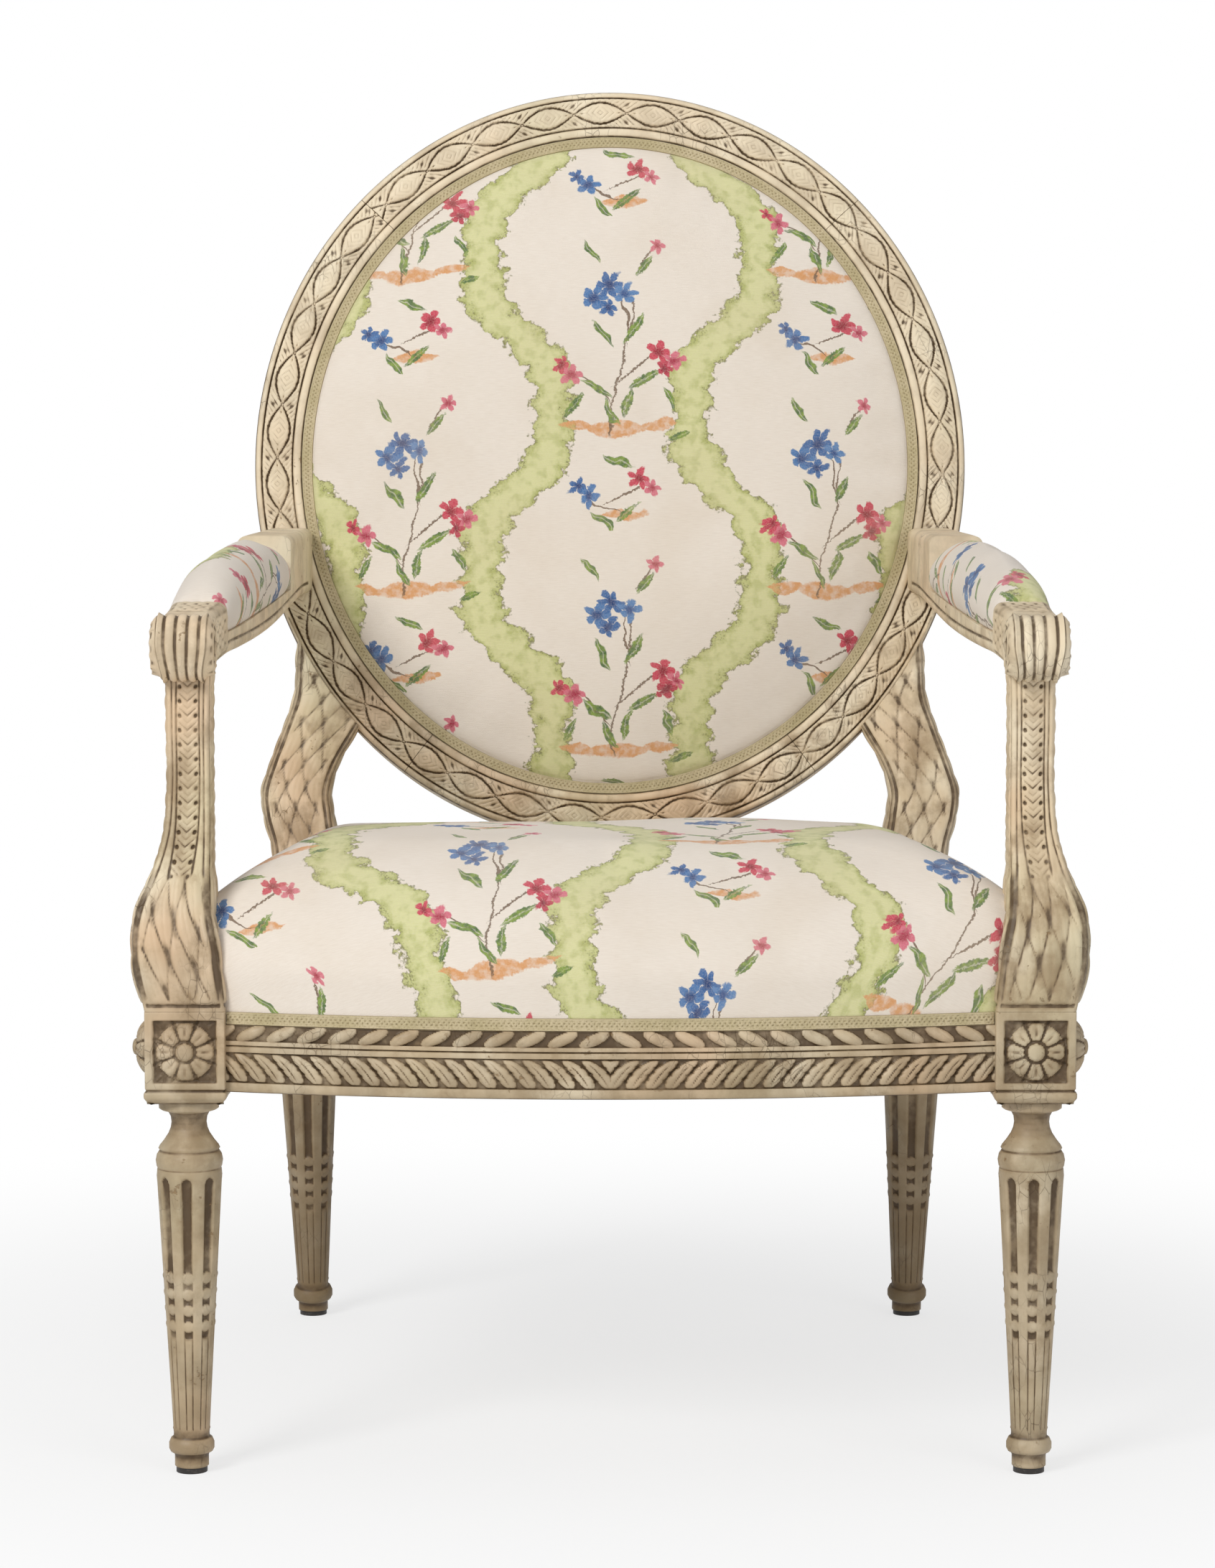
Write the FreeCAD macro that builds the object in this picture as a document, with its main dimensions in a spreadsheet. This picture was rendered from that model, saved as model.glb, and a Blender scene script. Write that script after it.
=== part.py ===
"""Oval-back armchair: carved and jointed wood frame, stuffed seat, stuffed back and arm pads.

Working frame, in millimetres: +X to the viewer's right, +Y to the back, +Z up, the floor at z = 0, and
y = 0 on the line through the two front legs. At the end every piece is moved by the same amount, so
that the origin lies in the middle of the chair's footprint.
"""
import FreeCAD
import Part
import Sketcher
import math
import os
import re
from FreeCAD import Placement, Rotation, Vector

SIZES = (
    ("leg_span", 592, "front leg axis to front leg axis"),
    ("rear_span", 492, "rear post axis to rear post axis"),
    ("seat_depth", 478, "front leg axis to rear post axis"),
    ("fit_gap", 0.2, "clearance all round tenons, pegs and dowels"),
    ("lay_gap", 0.3, "clearance between a soft layer and its neighbour"),
    ("block_side", 56, "side of the square block on a front leg"),
    ("block_top", 331, "top of the leg blocks and of the seat rails"),
    ("block_low", 266, "underside of the leg blocks"),
    ("block_chamfer", 5, "chamfer under a leg block"),
    ("rosette_radius", 19, "carved rosette on a block's outer side"),
    ("rosette_rise", 9, "how far the rosette swells out"),
    ("collar_radius", 21, "disc collar under the block"),
    ("collar_low", 259, "underside of the collar"),
    ("neck_radius", 12.3, "turned neck"),
    ("neck_height", 250, "narrowest place of the neck"),
    ("bulge_radius", 23.5, "bulb at the head of the fluted shaft"),
    ("bulge_top", 230, "upper edge of the bulb"),
    ("shaft_top", 217, "lower edge of the bulb, where the flutes start"),
    ("shaft_low_radius", 12.8, "foot end of the tapered shaft"),
    ("shaft_low", 30, "height of the shaft's foot end"),
    ("ring_radius", 16, "ring above the foot"),
    ("ring_top", 24, "upper edge of the ring"),
    ("ring_low", 14, "lower edge of the ring"),
    ("foot_radius", 12, "foot below the ring"),
    ("glide_radius", 11, "glide under a foot"),
    ("glide_thick", 4, "thickness of a glide"),
    ("flute_count", 8, "flutes round a leg"),
    ("flute_radius", 4.6, "flute at the head of the shaft"),
    ("flute_low_radius", 2.8, "flute at the foot end"),
    ("flute_margin", 4, "plain shaft above and below the flutes"),
    ("post_width", 46, "width of a rear post at the seat"),
    ("post_deep", 45, "depth of a rear post at the seat"),
    ("rear_splay", 52, "how far a rear foot stands behind its post"),
    ("rail_low", 274, "underside of the seat rails"),
    ("rail_thick", 28, "thickness of a seat rail"),
    ("rail_setback", 8, "rail face behind the face of a front block"),
    ("rear_setback", 4, "side rail face inside the rear post's outer face"),
    ("bow", 35, "how far the front rail bows forwards"),
    ("ribbon_low", 310, "underside of the twisted ribbon row"),
    ("bead_low", 302, "underside of the plain bead"),
    ("leaf_low", 281, "underside of the leaf row"),
    ("row_sink", 1.5, "how far the carved rows lie behind the plain fillets"),
    ("rabbet_height", 10, "tacking rabbet along the top of a rail"),
    ("rabbet_deep", 4, "depth of the tacking rabbet"),
    ("tenon_long", 20, "length of a rail tenon"),
    ("tenon_thick", 9, "thickness of a rail tenon"),
    ("tenon_shoulder", 8, "shoulder above and below a rail tenon"),
    ("peg_radius", 3, "peg through a rail tenon"),
    ("corner_leg", 62, "length of a corner block along a rail"),
    ("corner_thick", 24, "thickness of a corner block"),
    ("corner_drop", 14, "corner block's top below the rails' top"),
    ("screw_radius", 2, "corner block screw"),
    ("screw_head", 4, "radius of the screw head"),
    ("screw_long", 36, "length of a corner block screw"),
    ("rake", 12, "lean of the back, in degrees from upright"),
    ("oval_half_width", 291, "half the width of the oval frame"),
    ("oval_half_height", 312, "half the height of the oval frame along its slope"),
    ("oval_height", 702, "height of the oval's centre"),
    ("oval_forward", 13, "front of the oval frame from its middle plane"),
    ("oval_back", 15, "rear of the oval frame from its middle plane"),
    ("oval_width", 38, "visible width of the oval frame"),
    ("lip_width", 14, "tacking lip inside the oval frame"),
    ("lip_front", 2, "front of the tacking lip from the middle plane"),
    ("rear_rabbet", 3.5, "recess for the outer back cover"),
    ("rear_band", 27, "width of the oval frame seen from behind"),
    ("dowel_radius", 4, "dowels in the oval frame"),
    ("dowel_long", 44, "length of a dowel in the oval frame"),
    ("stile_dowel_long", 28, "length of a dowel between stile and oval"),
    ("arm_dowel_radius", 6, "dowels in the arms and arm supports"),
    ("arm_dowel_long", 36, "length of a dowel in an arm or arm support"),
    ("stile_swell", 9, "how far the stile bulges outwards above the seat"),
    ("stile_width", 53, "width of the stile at its bulge"),
    ("stile_deep", 38, "depth of the stile above the seat"),
    ("stile_joint", 15, "upper dowel between stile and oval, inside the rear post's middle"),
    ("stile_joint_low", 32, "lower dowel between stile and oval, inside the rear post's middle"),
    ("arm_height", 560, "underside of the arm at its knuckle"),
    ("arm_rise", 32, "how much higher the arm's underside is at its rear"),
    ("arm_rear_span", 524, "arm centre to arm centre at the oval"),
    ("knuckle_radius", 23, "scrolled knuckle at the front of an arm"),
    ("knuckle_width", 42, "width of the knuckle"),
    ("arm_width", 46, "width of an arm at its middle"),
    ("arm_end_width", 38, "width of an arm where it meets the oval"),
    ("arm_end_height", 52, "height of an arm where it meets the oval"),
    ("seat_line_front", 30, "top of the arm rail at the front of its pad, above the knuckle's underside"),
    ("seat_line_rear", 47, "top of the arm rail at the rear of its pad, above the knuckle's underside"),
    ("pad_start", 66, "front of an arm pad"),
    ("pad_end", 385, "rear of an arm pad"),
    ("pad_width", 51, "width of an arm pad at its middle"),
    ("pad_high", 48, "height of an arm pad above its rail"),
    ("support_bulge", 8, "how far a support bulges outside the block"),
    ("support_slim", 31, "width of a support below the arm"),
    ("support_deep", 35, "depth of a support below the arm"),
    ("support_sweep", 20, "how far a support sweeps back"),
    ("web_width", 52, "width of one webbing strip"),
    ("web_thick", 1, "thickness of one webbing strip"),
    ("web_margin", 4, "outermost webbing strips clear of the rear posts"),
    ("hessian_thick", 0.8, "thickness of a hessian layer"),
    ("cover_thick", 1.5, "thickness of a cover with its wadding"),
    ("gimp_width", 9, "width of the gimp braid"),
    ("gimp_thick", 1.6, "thickness of the gimp braid"),
    ("seat_crown", 440, "height of the seat's crown"),
    ("seat_wall", 352, "height where the seat's sides start to round over"),
    ("seat_corner", 10, "rounding of the seat's corners in plan"),
    ("seat_round", 110, "how far in from its edge the seat rounds over"),
    ("back_crown", 20, "crown of the stuffed back in front of the oval frame"),
    ("back_edge", 3, "stuffing thickness at the edge of the back"),
)

doc = FreeCAD.newDocument("Armchair")
sheet = doc.addObject("Spreadsheet::Sheet", "Sizes")
for row, (alias, value, meaning) in enumerate(SIZES, start=1):
    sheet.set(f"A{row}", meaning)
    sheet.set(f"B{row}", str(value))
    sheet.setAlias(f"B{row}", alias)
doc.recompute()
NAMES = {alias for alias, value, meaning in SIZES}

X_AXIS = Vector(1, 0, 0)
Y_AXIS = Vector(0, 1, 0)
Z_AXIS = Vector(0, 0, 1)
ORIGIN = Vector(0, 0, 0)
UPRIGHT = Rotation()
SIDES = (("left", -1), ("right", 1))


def size(alias):
    """Read one driving dimension from the sheet."""
    return float(sheet.get(alias))


def bound(text):
    """Write a formula of size names as an expression on the sheet."""
    def named(word):
        """Point one size name at the sheet and leave function names alone."""
        return "Sizes." + word.group() if word.group() in NAMES else word.group()

    return re.sub(r"[a-z_]+", named, text)


def value_of(text):
    """Work a formula of size names out as a number."""
    return float(sheet.evalExpression(bound(text)))


def bind(item, field, text):
    """Drive one field of an object by a formula of size names."""
    item.setExpression(field, bound(text))


def new_body(name):
    """Start a body for one sub-part."""
    return doc.addObject("PartDesign::Body", name)


def sketch_on(body, role, lift="0"):
    """Attach an empty sketch to one of the body's own planes, raised along its normal."""
    sketch = body.newObject("Sketcher::SketchObject", body.Name + "_sketch")
    plane = [item for item in body.Origin.OriginFeatures if item.Role == role][0]
    sketch.AttachmentSupport = [(plane, "")]
    sketch.MapMode = "FlatFace"
    bind(sketch, "AttachmentOffset.Base.z", lift)
    return sketch


def station(name, role, place):
    """A free sketch across a loft: level at a height, or upright at a distance to the back."""
    sketch = doc.addObject("Sketcher::SketchObject", name)
    if role == "level":
        bind(sketch, "Placement.Base.z", place)
    else:
        sketch.Placement = Placement(ORIGIN, Rotation(X_AXIS, 90))
        bind(sketch, "Placement.Base.y", place)
    return sketch


def outline(sketch, points, rises=None):
    """Close bound points with straight edges, or with arcs that rise towards the sketch's -Y."""
    rises = rises or {}
    spots = [Vector(value_of(across), value_of(up), 0) for across, up in points]
    count = len(spots)
    edges = []
    for index in range(count):
        first = spots[index]
        last = spots[(index + 1) % count]
        if index in rises:
            middle = (first + last) / 2 - Vector(0, value_of(rises[index]), 0)
            edges.append(sketch.addGeometry(Part.Arc(first, middle, last)))
        else:
            edges.append(sketch.addGeometry(Part.LineSegment(first, last)))
    ends = {}
    for index, edge in enumerate(edges):
        forward = sketch.getPoint(edge, 1).isEqual(spots[index], 1e-6)
        ends[index] = (1, 2) if forward else (2, 1)
    for index in range(count):
        after = (index + 1) % count
        sketch.addConstraint(Sketcher.Constraint("Coincident", edges[index], ends[index][1],
                                                 edges[after], ends[after][0]))
    for index, (across, up) in enumerate(points):
        for kind, text in (("DistanceX", across), ("DistanceY", up)):
            rule = sketch.addConstraint(Sketcher.Constraint(kind, -1, 1, edges[index], ends[index][0],
                                                            value_of(text)))
            bind(sketch, f"Constraints[{rule}]", text)
    for index, rise in rises.items():
        half = f"(({points[index][0]}) - ({points[(index + 1) % count][0]})) / 2"
        radius = f"(({half})^2 + ({rise})^2) / (2 * ({rise}))"
        rule = sketch.addConstraint(Sketcher.Constraint("Radius", edges[index], value_of(radius)))
        bind(sketch, f"Constraints[{rule}]", radius)
    return sketch


def rectangle(centre_x, centre_y, width, deep):
    """Corner formulas of a rectangle about a centre."""
    low_x, high_x = f"({centre_x}) - ({width}) / 2", f"({centre_x}) + ({width}) / 2"
    low_y, high_y = f"({centre_y}) - ({deep}) / 2", f"({centre_y}) + ({deep}) / 2"
    return [(low_x, low_y), (high_x, low_y), (high_x, high_y), (low_x, high_y)]


def pad(body, sketch, length):
    """Raise a sketch along its normal."""
    feature = body.newObject("PartDesign::Pad", body.Name + "_pad")
    feature.Profile = sketch
    bind(feature, "Length", length)
    return feature


def loft(name, sketches):
    """Join a row of free sketches by one smooth skin."""
    feature = doc.addObject("Part::Loft", name)
    feature.Sections = sketches
    feature.Solid = True
    feature.MaxDegree = 3
    return feature


def box(name, width, deep, high, corner, place=Placement()):
    """A box of bound sides whose low corner lies at a point of a placed frame."""
    item = doc.addObject("Part::Box", name)
    bind(item, "Length", width)
    bind(item, "Width", deep)
    bind(item, "Height", high)
    item.Placement = place.multiply(Placement(corner, UPRIGHT))
    return item


def rod(name, radius, length, middle, along):
    """A round rod of bound radius and length about its middle point."""
    item = doc.addObject("Part::Cylinder", name)
    bind(item, "Radius", radius)
    bind(item, "Height", length)
    along = Vector(along).normalize()
    start = middle - along * (value_of(length) / 2)
    item.Placement = Placement(start, Rotation(Z_AXIS, along))
    return item


def solid_feature(name, shape, place=Placement()):
    """Hold a shape made from the sheet's sizes as an object of the document."""
    item = doc.addObject("Part::Feature", name)
    item.Shape = shape
    item.Placement = place.multiply(item.Placement)
    return item


blanks = {}
holes = {}
groups = {}
notches = []


def cut_from(label, tool):
    """Take a tool's shape out of the named piece when the pieces are finished."""
    holes.setdefault(label, []).append(tool)


def dowel(group, radius, length, middle, along, pieces):
    """Put a dowel or peg in its group, and its hole in each piece that it holds."""
    groups.setdefault(group, []).append(rod(group + "_rod", radius, length, middle, along))
    for label in pieces:
        cut_from(label, rod(group + "_hole", f"{radius} + fit_gap", f"{length} + 2 * fit_gap", middle, along))


# Places that several pieces share
leg_x = size("leg_span") / 2
post_x = size("rear_span") / 2
block_half = size("block_side") / 2
post_front = size("seat_depth") - size("post_deep") / 2
lean = math.radians(size("rake"))
tenon_middle = (size("rail_low") + size("block_top")) / 2
face_inset = size("rail_setback") + size("rail_thick") / 2
oval_y = size("seat_depth") + (size("oval_height") - size("block_top")) * math.tan(lean)
OVAL = Placement(Vector(0, oval_y, size("oval_height")), Rotation(X_AXIS, 90 - size("rake")))


def turned_shaft(body):
    """Revolve the turned leg under its block and cut its flutes."""
    profile = [
        ("0", "block_low + 1"), ("collar_radius", "block_low + 1"), ("collar_radius", "collar_low"),
        ("neck_radius + 2", "collar_low - 1"), ("neck_radius", "neck_height"),
        ("neck_radius + 2", "neck_height - 6"), ("bulge_radius - 3", "bulge_top + 2"),
        ("bulge_radius", "bulge_top - 3"), ("bulge_radius", "shaft_top"),
        ("shaft_low_radius", "shaft_low"), ("ring_radius - 1", "ring_top"), ("ring_radius", "ring_top - 3"),
        ("ring_radius", "ring_low + 2"), ("foot_radius", "ring_low"),
        ("foot_radius", "glide_thick"), ("0", "glide_thick"),
    ]
    sketch = sketch_on(body, "XZ_Plane")
    outline(sketch, profile)
    turned = body.newObject("PartDesign::Revolution", body.Name + "_turning")
    turned.Profile = sketch
    turned.ReferenceAxis = (sketch, ["V_Axis"])
    turned.Angle = 360
    taper = "(bulge_radius - shaft_low_radius) / (shaft_top - shaft_low)"
    rings = []
    for height, radius in (("shaft_top - flute_margin", "flute_radius"),
                           ("shaft_low + flute_margin", "flute_low_radius")):
        reach = f"shaft_low_radius + ({height} - shaft_low) * {taper} + {radius} * 0.35"
        ring = sketch_on(body, "XY_Plane", height)
        circle = ring.addGeometry(Part.Circle(Vector(value_of(reach), 0, 0), Z_AXIS, value_of(radius)))
        for kind, text in (("DistanceX", reach), ("DistanceY", "0")):
            rule = ring.addConstraint(Sketcher.Constraint(kind, -1, 1, circle, 3, value_of(text)))
            bind(ring, f"Constraints[{rule}]", text)
        rule = ring.addConstraint(Sketcher.Constraint("Radius", circle, value_of(radius)))
        bind(ring, f"Constraints[{rule}]", radius)
        rings.append(ring)
    flute = body.newObject("PartDesign::SubtractiveLoft", body.Name + "_flute")
    flute.Profile = rings[0]
    flute.Sections = rings[1:]
    pattern = body.newObject("PartDesign::PolarPattern", body.Name + "_flutes")
    pattern.Originals = [flute]
    pattern.Axis = (sketch, ["V_Axis"])
    pattern.Angle = 360
    bind(pattern, "Occurrences", "flute_count")
    body.Tip = pattern
    return pattern


def glide(name, middle):
    """The dark glide under one foot."""
    rise = Vector(0, 0, size("glide_thick") / 2)
    disc = rod(name, "glide_radius", "glide_thick", middle + rise, Z_AXIS)
    groups.setdefault("foot_glides", []).append(disc)


def front_leg(name, side):
    """Square block with its rosette over the turned and fluted shaft."""
    label = "front_leg_" + name
    body = new_body(label + "_turning")
    turned_shaft(body)
    block = new_body(label + "_block")
    square = pad(block, outline(sketch_on(block, "XY_Plane", "block_low"),
                                rectangle("0", "0", "block_side", "block_side")), "block_top - block_low")
    doc.recompute()
    low_edges = [f"Edge{index}" for index, edge in enumerate(square.Shape.Edges, start=1)
                 if edge.CenterOfMass.z < size("block_low") + 1]
    foot = block.newObject("PartDesign::Chamfer", label + "_chamfer")
    foot.Base = (square, low_edges)
    bind(foot, "Size", "block_chamfer")
    middle = (size("block_top") + size("block_low")) / 2
    rise, radius = size("rosette_rise"), size("rosette_radius")
    ball = (radius ** 2 + rise ** 2) / (2 * rise)
    rosette = Part.makeSphere(ball, Vector(side * (block_half + rise - ball), 0, middle))
    keep = Part.makeBox(rise + 4, 2 * ball, 2 * ball, Vector(-2, -ball, -ball))
    keep.Placement = Placement(Vector(side * (block_half + rise / 2), 0, middle), UPRIGHT)
    keep.translate(Vector(-rise / 2, 0, 0))
    carved = solid_feature(label + "_rosette", rosette.common(keep))
    whole = doc.addObject("Part::MultiFuse", label + "_blank")
    whole.Shapes = [body, block, carved]
    whole.Placement = Placement(Vector(side * leg_x, 0, 0), UPRIGHT)
    blanks[label] = whole
    glide(label + "_glide", Vector(side * leg_x, 0, 0))


def rear_post(name, side):
    """Splayed turned leg, plain post at the seat and carved S-shaped stile, in one piece."""
    label = "rear_post_" + name
    height = size("block_low")
    splay = math.atan2(size("rear_splay"), height)
    leg = new_body(label + "_turning")
    turned_shaft(leg)
    tilt = Rotation(X_AXIS, math.degrees(splay))
    hinge = Vector(0, 0, height)
    leg.Placement = Placement(hinge, tilt).multiply(Placement(-hinge * (1 / math.cos(splay)), UPRIGHT))
    outward = f"{side} * "
    stations = (
        ("block_top", "0", "post_width", "post_deep"),
        ("block_top + 33", "stile_swell * 0.12", "post_width + 2", "post_deep - 2"),
        ("block_top + 66", "stile_swell * 0.25", "stile_width - 3", "stile_deep + 4"),
        ("block_top + 89", "stile_swell * 0.8", "stile_width", "stile_deep + 1"),
        ("block_top + 107", "stile_swell", "stile_width", "stile_deep"),
        ("block_top + 129", "stile_swell * 0.3", "stile_width", "stile_deep"),
        ("block_top + 154", "stile_swell - 18", "stile_width + 5", "stile_deep"),
        ("block_top + 184", "stile_swell - 32", "stile_width + 13", "stile_deep - 1"),
        ("block_top + 219", "stile_swell - 40", "stile_width + 25", "stile_deep - 2"),
        ("block_top + 254", "stile_swell - 45", "stile_width + 28", "stile_deep - 3"),
    )
    post = box(label + "_post", "post_width", "post_deep", "block_top - block_low",
               Vector(-size("post_width") / 2, -size("post_deep") / 2, size("block_low")))
    sections = []
    for lift, centre, width, deep in stations:
        back = f"({lift} - block_top) * tan(rake * 1 deg)"
        sketch = station(label + "_station", "level", lift)
        sections.append(outline(sketch, rectangle(outward + f"({centre})", back, width, deep)))
    stile = loft(label + "_stile", sections)
    whole = doc.addObject("Part::MultiFuse", label + "_blank")
    whole.Shapes = [leg, post, stile]
    whole.Placement = Placement(Vector(side * post_x, size("seat_depth"), 0), UPRIGHT)
    blanks[label] = whole
    below = 4 * size("ring_radius")
    foot_y = size("seat_depth") + size("rear_splay")
    cut_from(label, box(label + "_floor", str(2 * below), str(2 * below), str(below),
                        Vector(side * post_x - below, foot_y - below, size("glide_thick") - below)))
    glide(label + "_glide", Vector(side * post_x, foot_y, 0))


def seat_rail(label, length, bow, place, skew, pieces):
    """A moulded seat rail along its own X, its face towards its own -Y, with a tenon at each end."""
    body = new_body(label + "_body")
    layers = (
        ("rail_low", "leaf_low", "0"),
        ("leaf_low", "bead_low", "row_sink"),
        ("bead_low", "ribbon_low", "0"),
        ("ribbon_low", "block_top - rabbet_height", "row_sink"),
        ("block_top - rabbet_height", "block_top", "rabbet_deep"),
    )
    half = f"({length}) / 2"
    slope = f"{math.tan(math.radians(skew)):.6f}"
    for low, high, sink in layers:
        face, inner = f"(-rail_thick / 2 + {sink})", "(rail_thick / 2)"
        corners = [(f"-{half} + {face} * {slope}", face), (f"{half} + {face} * {slope}", face),
                   (f"{half} + {inner} * {slope}", inner), (f"-{half} + {inner} * {slope}", inner)]
        sketch = sketch_on(body, "XY_Plane", low)
        outline(sketch, corners, {0: bow, 2: bow} if bow else None)
        pad(body, sketch, f"{high} - ({low})")
    body.Placement = place
    parts = [body]
    bite = 6
    high = "block_top - rabbet_height - rail_low - tenon_shoulder"
    for end, target in zip((-1, 1), pieces):
        reach = value_of(length) / 2 + size("tenon_long") / 2 - bite / 2
        low = size("rail_low") + size("tenon_shoulder") / 2
        for gap, owner in ((0.0, None), (size("fit_gap"), target)):
            spread = f"{gap * 2}"
            corner = Vector(end * reach - (size("tenon_long") + bite) / 2 - gap,
                            -size("tenon_thick") / 2 - gap, low - gap)
            tenon = box(label + "_tenon", f"tenon_long + {bite} + {spread}", f"tenon_thick + {spread}",
                        f"{high} + {spread}", corner, place)
            if owner:
                cut_from(owner, tenon)
            else:
                parts.append(tenon)
        across = place.Rotation.multVec(Y_AXIS)
        middle = place.multVec(Vector(end * (value_of(length) / 2 + size("tenon_long") / 2), 0, tenon_middle))
        level = Vector(0, 0, 8 if skew else -8)
        dowel("tenon_pegs", "peg_radius", "tenon_thick + 18", middle + level, across, [target, label])
    whole = doc.addObject("Part::MultiFuse", label + "_blank")
    whole.Shapes = parts
    blanks[label] = whole


for side_name, side_sign in SIDES:
    front_leg(side_name, side_sign)
    rear_post(side_name, side_sign)

# Rails between the legs
seat_rail("front_rail", "leg_span - block_side", "bow",
          Placement(Vector(0, face_inset - block_half, 0), UPRIGHT), 0,
          ("front_leg_left", "front_leg_right"))
seat_rail("rear_rail", "rear_span - post_width", "",
          Placement(Vector(0, size("seat_depth"), 0), Rotation(Z_AXIS, 180)), 0,
          ("rear_post_right", "rear_post_left"))
for side_name, side_sign in SIDES:
    front_x = leg_x + block_half - face_inset
    rear_x = post_x + size("post_width") / 2 - size("rear_setback") - size("rail_thick") / 2
    run = post_front - block_half
    turn = math.degrees(math.atan2(front_x - rear_x, run))
    middle = Vector(side_sign * (front_x + rear_x) / 2, (block_half + post_front) / 2, 0)
    heading = Rotation(Z_AXIS, 90 + turn) if side_sign > 0 else Rotation(Z_AXIS, -90 - turn)
    ends = ["front_leg_" + side_name, "rear_post_" + side_name]
    length_text = f"{math.hypot(run, front_x - rear_x):.4f}"
    seat_rail("side_rail_" + side_name, length_text, "", Placement(middle, heading),
              turn if side_sign > 0 else -turn, ends if side_sign > 0 else ends[::-1])


# Oval back frame: one moulded section run along four arcs of an ellipse
def oval_curve(inset):
    """Ellipse inside the oval's outer edge, with the parameter that lies on its +X side."""
    wide, high = size("oval_half_width") - inset, size("oval_half_height") - inset
    if wide > high:
        return Part.Ellipse(Vector(wide, 0, 0), Vector(0, high, 0), ORIGIN), 0.0
    return Part.Ellipse(Vector(0, high, 0), Vector(-wide, 0, 0), ORIGIN), -math.pi / 2


def oval_plate(inset, low, high):
    """Flat oval plate inside the frame's outer edge, from one height over the middle plane to another."""
    curve, start = oval_curve(inset)
    plate = Part.Face(Part.Wire(curve.toShape())).extrude(Vector(0, 0, high - low))
    return plate.translated(Vector(0, 0, low))


def oval_section():
    """Moulding section as (distance in from the outer edge, height over the middle plane)."""
    front, back, width = size("oval_forward"), size("oval_back"), size("oval_width")
    lip, lip_front = size("oval_width") + size("lip_width"), size("lip_front")
    recess = size("rear_rabbet") - back
    round_edge, groove, fillet_width, swell = 3, 2.5, 9, 1.5
    return (
        (round_edge, -back), (0, round_edge - back), (0, front - round_edge), (round_edge, front),
        (fillet_width, front), (fillet_width + 1, front - groove),
        (fillet_width + 4, front + swell), (width - fillet_width - 4, front + swell),
        (width - fillet_width - 1, front - groove), (width - fillet_width, front), (width, front - 1),
        (width, lip_front), (lip, lip_front), (lip, recess), (size("rear_band"), recess),
        (size("rear_band"), -back),
    )


def oval_segment(name, start_angle, sweep):
    """One length of the oval frame, from one joint to the next."""
    curve, offset = oval_curve(0)
    first = math.radians(start_angle) + offset
    path = curve.toShape(first, first + math.radians(sweep))
    along = curve.tangent(first)[0]
    inward = along.cross(Z_AXIS) * -1
    foot = curve.value(first)
    corners = [foot + inward * across + Z_AXIS * up for across, up in oval_section()]
    section = Part.makePolygon(corners + corners[:1])
    shape = Part.Wire(path).makePipeShell([section], True, False)
    label = "oval_" + name
    blanks[label] = solid_feature(label + "_blank", shape, OVAL)


def oval_spot(angle, inset, height=0.0):
    """A point of the oval frame in the working frame, with the frame's direction there."""
    curve, offset = oval_curve(inset)
    turn = math.radians(angle) + offset
    spot = curve.value(turn) + Z_AXIS * height
    return OVAL.multVec(spot), OVAL.Rotation.multVec(curve.tangent(turn)[0])


SEGMENTS = (("right", -55, 100), ("top", 45, 90), ("left", 135, 100), ("bottom", 235, 70))
for position, (segment_name, segment_start, segment_sweep) in enumerate(SEGMENTS):
    oval_segment(segment_name, segment_start, segment_sweep)
    before = "oval_" + SEGMENTS[position - 1][0]
    for inset in (0.3, 0.75):
        spot, heading = oval_spot(segment_start, size("oval_width") * inset)
        dowel("oval_dowels", "dowel_radius", "dowel_long", spot, heading, ["oval_" + segment_name, before])

# The stiles end against the oval's outer edge and are doweled to it
for side_name, side_sign in SIDES:
    reach = 4 * size("stile_deep")
    rim = solid_feature("rim_" + side_name, oval_plate(0, -reach, reach), OVAL)
    trimmed = doc.addObject("Part::Cut", "rear_post_" + side_name + "_trimmed")
    trimmed.Base, trimmed.Tool = blanks["rear_post_" + side_name], rim
    blanks["rear_post_" + side_name] = trimmed
    for joint in ("stile_joint", "stile_joint_low"):
        angle = 180 + math.degrees(math.acos((post_x - size(joint)) / size("oval_half_width")))
        mirrored = angle if side_sign < 0 else 180 - angle
        spot, heading = oval_spot(mirrored, 0)
        inward = OVAL.Rotation.multVec(Z_AXIS).cross(heading)
        dowel("stile_dowels", "dowel_radius", "stile_dowel_long", spot, inward,
              ["rear_post_" + side_name, "oval_" + side_name])


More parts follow.
